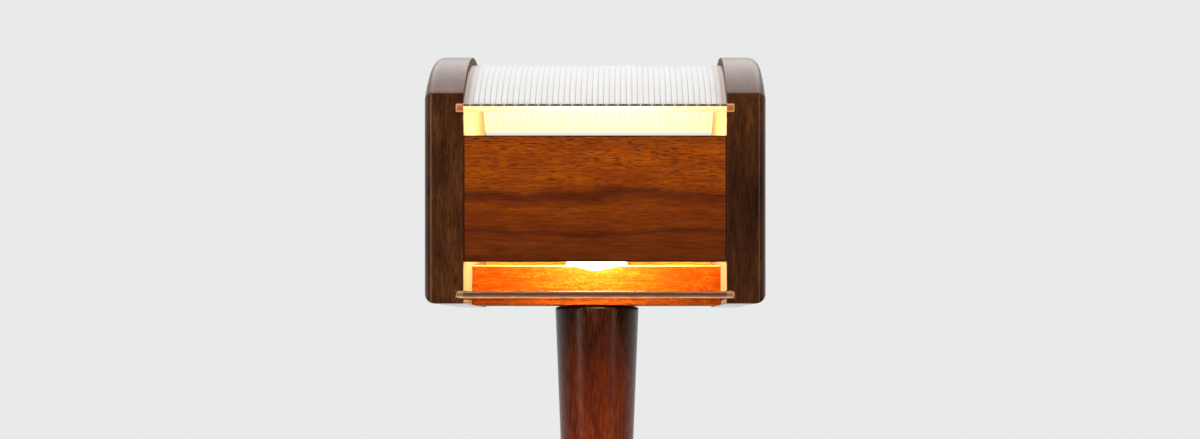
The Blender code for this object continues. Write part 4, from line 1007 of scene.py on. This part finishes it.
# Hardboard: pressed wood fibre, brown, with a felted mottle of short fibres and a dull smooth face
hardboard, tree, shader, spot = new_finish("pressed_hardboard", {"IOR": 1.5, "Specular IOR Level": 0.3})
fibres = grained(tree, spot, 2.5, 0.5, "x", Detail=3.0, Distortion=1.5)
fibres_too = grained(tree, spot, 2.5, 0.5, "y", Detail=3.0, Distortion=1.5)
felted = add_node(tree, "Mix", {0: 0.5, 2: fibres, 3: fibres_too}, data_type="FLOAT")
colour = add_node(tree, "ValToRGB", {0: felted},
                  stops=[(0.38, "#4a3424"), (0.5, "#644832"), (0.62, "#7d5d43")])
feed(tree, shader, {"Base Color": colour})
dull = add_node(tree, "MapRange", {"Value": felted, "To Min": 0.55, "To Max": 0.8})
feed(tree, shader, {"Roughness": dull})
cover_low, cover_high, cover_radius = base_bottom, 5 * mm, 57.7 * mm
profile = np.vstack([[(0, cover_high), (30 * mm, cover_high), (cover_radius - 0.2 * mm, cover_high),
                      (cover_radius, cover_high - 0.2 * mm)],
                     bend((cover_radius, cover_low + 0.6 * mm), (cover_radius, cover_low),
                          (cover_radius - 0.6 * mm, cover_low)),
                     [(30 * mm, cover_low), (0, cover_low)]])
cover = turned("hardboard_cover", profile, hardboard, turns=128)
screw_circle = 55 * mm
corners = [math.radians(90 * number - 45) for number in range(1, 5)]
screw_places = [(screw_circle * math.cos(a), screw_circle * math.sin(a)) for a in corners]
countersinks = []
for x, y in screw_places:
    sink = [(0, 1 * mm), (2.7 * mm, 1 * mm), (2.7 * mm, 0), (1.5 * mm, -1.3 * mm), (1.5 * mm, -4 * mm),
            (0, -4 * mm)]
    countersinks.append(turned("countersink", sink, hardboard, centre=(x, y, cover_low), facing="down",
                               turns=32, body=None))
carve(cover, countersinks)
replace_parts(cover, "base_cover")
for number, (x, y) in enumerate(screw_places, 1):
    profile = screw_profile(2.4 * mm, 1.4 * mm, 1.2 * mm, 10 * mm, True)
    screw = turned(f"countersunk_screw_{number}", profile, zinc, centre=(x, y, cover_low), facing="down",
                   turns=48,
                   cross=(3.0 * mm, 0.8 * mm, 0.8 * mm), thread=(0.9 * mm, 0.3 * mm, -8 * mm, -2 * mm))
    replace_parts(screw, f"cover_screw_{number}")

# Wool felt, pressed and cut: dark brown, matt, with a soft tangle of fibres that catches light
felt_sockets = {"Roughness": 0.95, "Specular IOR Level": 0.1, "Sheen Weight": 0.3, "Sheen Roughness": 0.5}
felt = mottled("pressed_wool_felt", felt_sockets, (0.8, 0.8), [(0.35, "#1f1b19"), (0.65, "#3a332f")],
               relief=(0.8, 0.2 * mm), Detail=5.0, Roughness=0.7, Distortion=2.0)
ring = turned("felt_foot_ring", ring_profile(75 * mm, 59.5 * mm, 0.0, 2 * mm, 0.5 * mm), felt, turns=128,
              closed=True)
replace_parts(ring, "felt_ring")

# ---------------------------------------------------------------------------------------------
# The switch: a brass push button in a turned brass bezel, let into the base in front of the post;
# a ring nut and the phenolic switch body hold it under the wood. The brass is turned and brushed.
turned_brass = metal("turned_brushed_brass", "#c8a257", "#a98343", 0.24, line=(3, 0.1))
bezel_low, bezel_high, barrel_low = 26.6 * mm, 28.1 * mm, 17 * mm
bezel_bore, barrel_radius, bezel_radius = 4.3 * mm, 5.5 * mm, 9 * mm
button_radius, crown_radius, crown_fall = 4 * mm, 3.3 * mm, 0.35 * mm
at_switch = (*switch_spot, 0.0)
profile = np.vstack([
    bend((bezel_bore, bezel_high - 0.5 * mm), (bezel_bore, bezel_high - 0.1 * mm),
         (4.8 * mm, bezel_high - 0.1 * mm)),
    bend((5.2 * mm, bezel_high), (8.9 * mm, bezel_high), (bezel_radius, bezel_low), 10),
    [(barrel_radius, bezel_low), (barrel_radius, barrel_low + 0.3 * mm), (5.2 * mm, barrel_low),
     (bezel_bore, barrel_low)],
])
bezel = turned("brass_bezel", profile, turned_brass, centre=at_switch, closed=True)
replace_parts(bezel, "switch_bezel")
low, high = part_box("switch_button")
crown = np.linspace(0, 1, 9)
profile = np.vstack([
    np.stack([crown_radius * crown, high.z - crown_fall * crown**2], axis=1),
    bend((crown_radius, high.z - crown_fall), (button_radius, high.z - 0.5 * mm),
         (button_radius, high.z - 1.2 * mm)),
    [(button_radius, low.z), (0, low.z)],
])
button = turned("brass_push_button", profile, turned_brass, centre=at_switch, turns=64, body="button")
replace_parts(button, "switch_button")
dress(["switch_nut"], zinc)
dress(["switch_body"], phenolic)

# ---------------------------------------------------------------------------------------------
# The inlet: a brown nylon bushing, moulded, pushed into the rim's hole from behind, where the
# mains lead would come through. Its flange sits in a spot face.
nylon = mottled("moulded_brown_nylon", {"IOR": 1.53}, (0.8, 0.8), [(0.35, "#2a1d16"), (0.65, "#36261d")],
                dull=(0.38, 0.55), Detail=3.0)
start, stop, flange = 66 * mm, 80 * mm, 78 * mm
bore_radius, sleeve_radius, flange_radius = 3.4 * mm, 4.8 * mm, 6.5 * mm
profile = np.vstack([
    [(bore_radius, start), (sleeve_radius, start), (sleeve_radius, flange), (flange_radius, flange)],
    bend((flange_radius, stop - 0.9 * mm), (6.4 * mm, stop), (5.4 * mm, stop)),
    bend((4.4 * mm, stop), (bore_radius, stop), (bore_radius, stop - 1 * mm)),
])
inlet = turned("nylon_inlet_bushing", profile, nylon, centre=(0, 0, inlet_height), facing="rear", turns=64,
               closed=True)
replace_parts(inlet, "cord_inlet")

# ---------------------------------------------------------------------------------------------
# The wires: copper strand in brown and blue plastic, drawn through base, tube and holder. They are
# hidden but for a hand's breadth under the lampholder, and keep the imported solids.
for name, hex_colour, dark_hex, names in (
    ("brown_insulation", "#6a3d22", "#57301a", ["switch_supply_wire", "switched_wire"]),
    ("blue_insulation", "#2f4f95", "#264280", ["neutral_wire"]),
):
    insulation = mottled(name, {"Roughness": 0.42, "IOR": 1.53}, (3, 3),
                         [(0.4, hex_colour), (0.62, dark_hex)], Detail=2.0)
    dress(names, insulation)
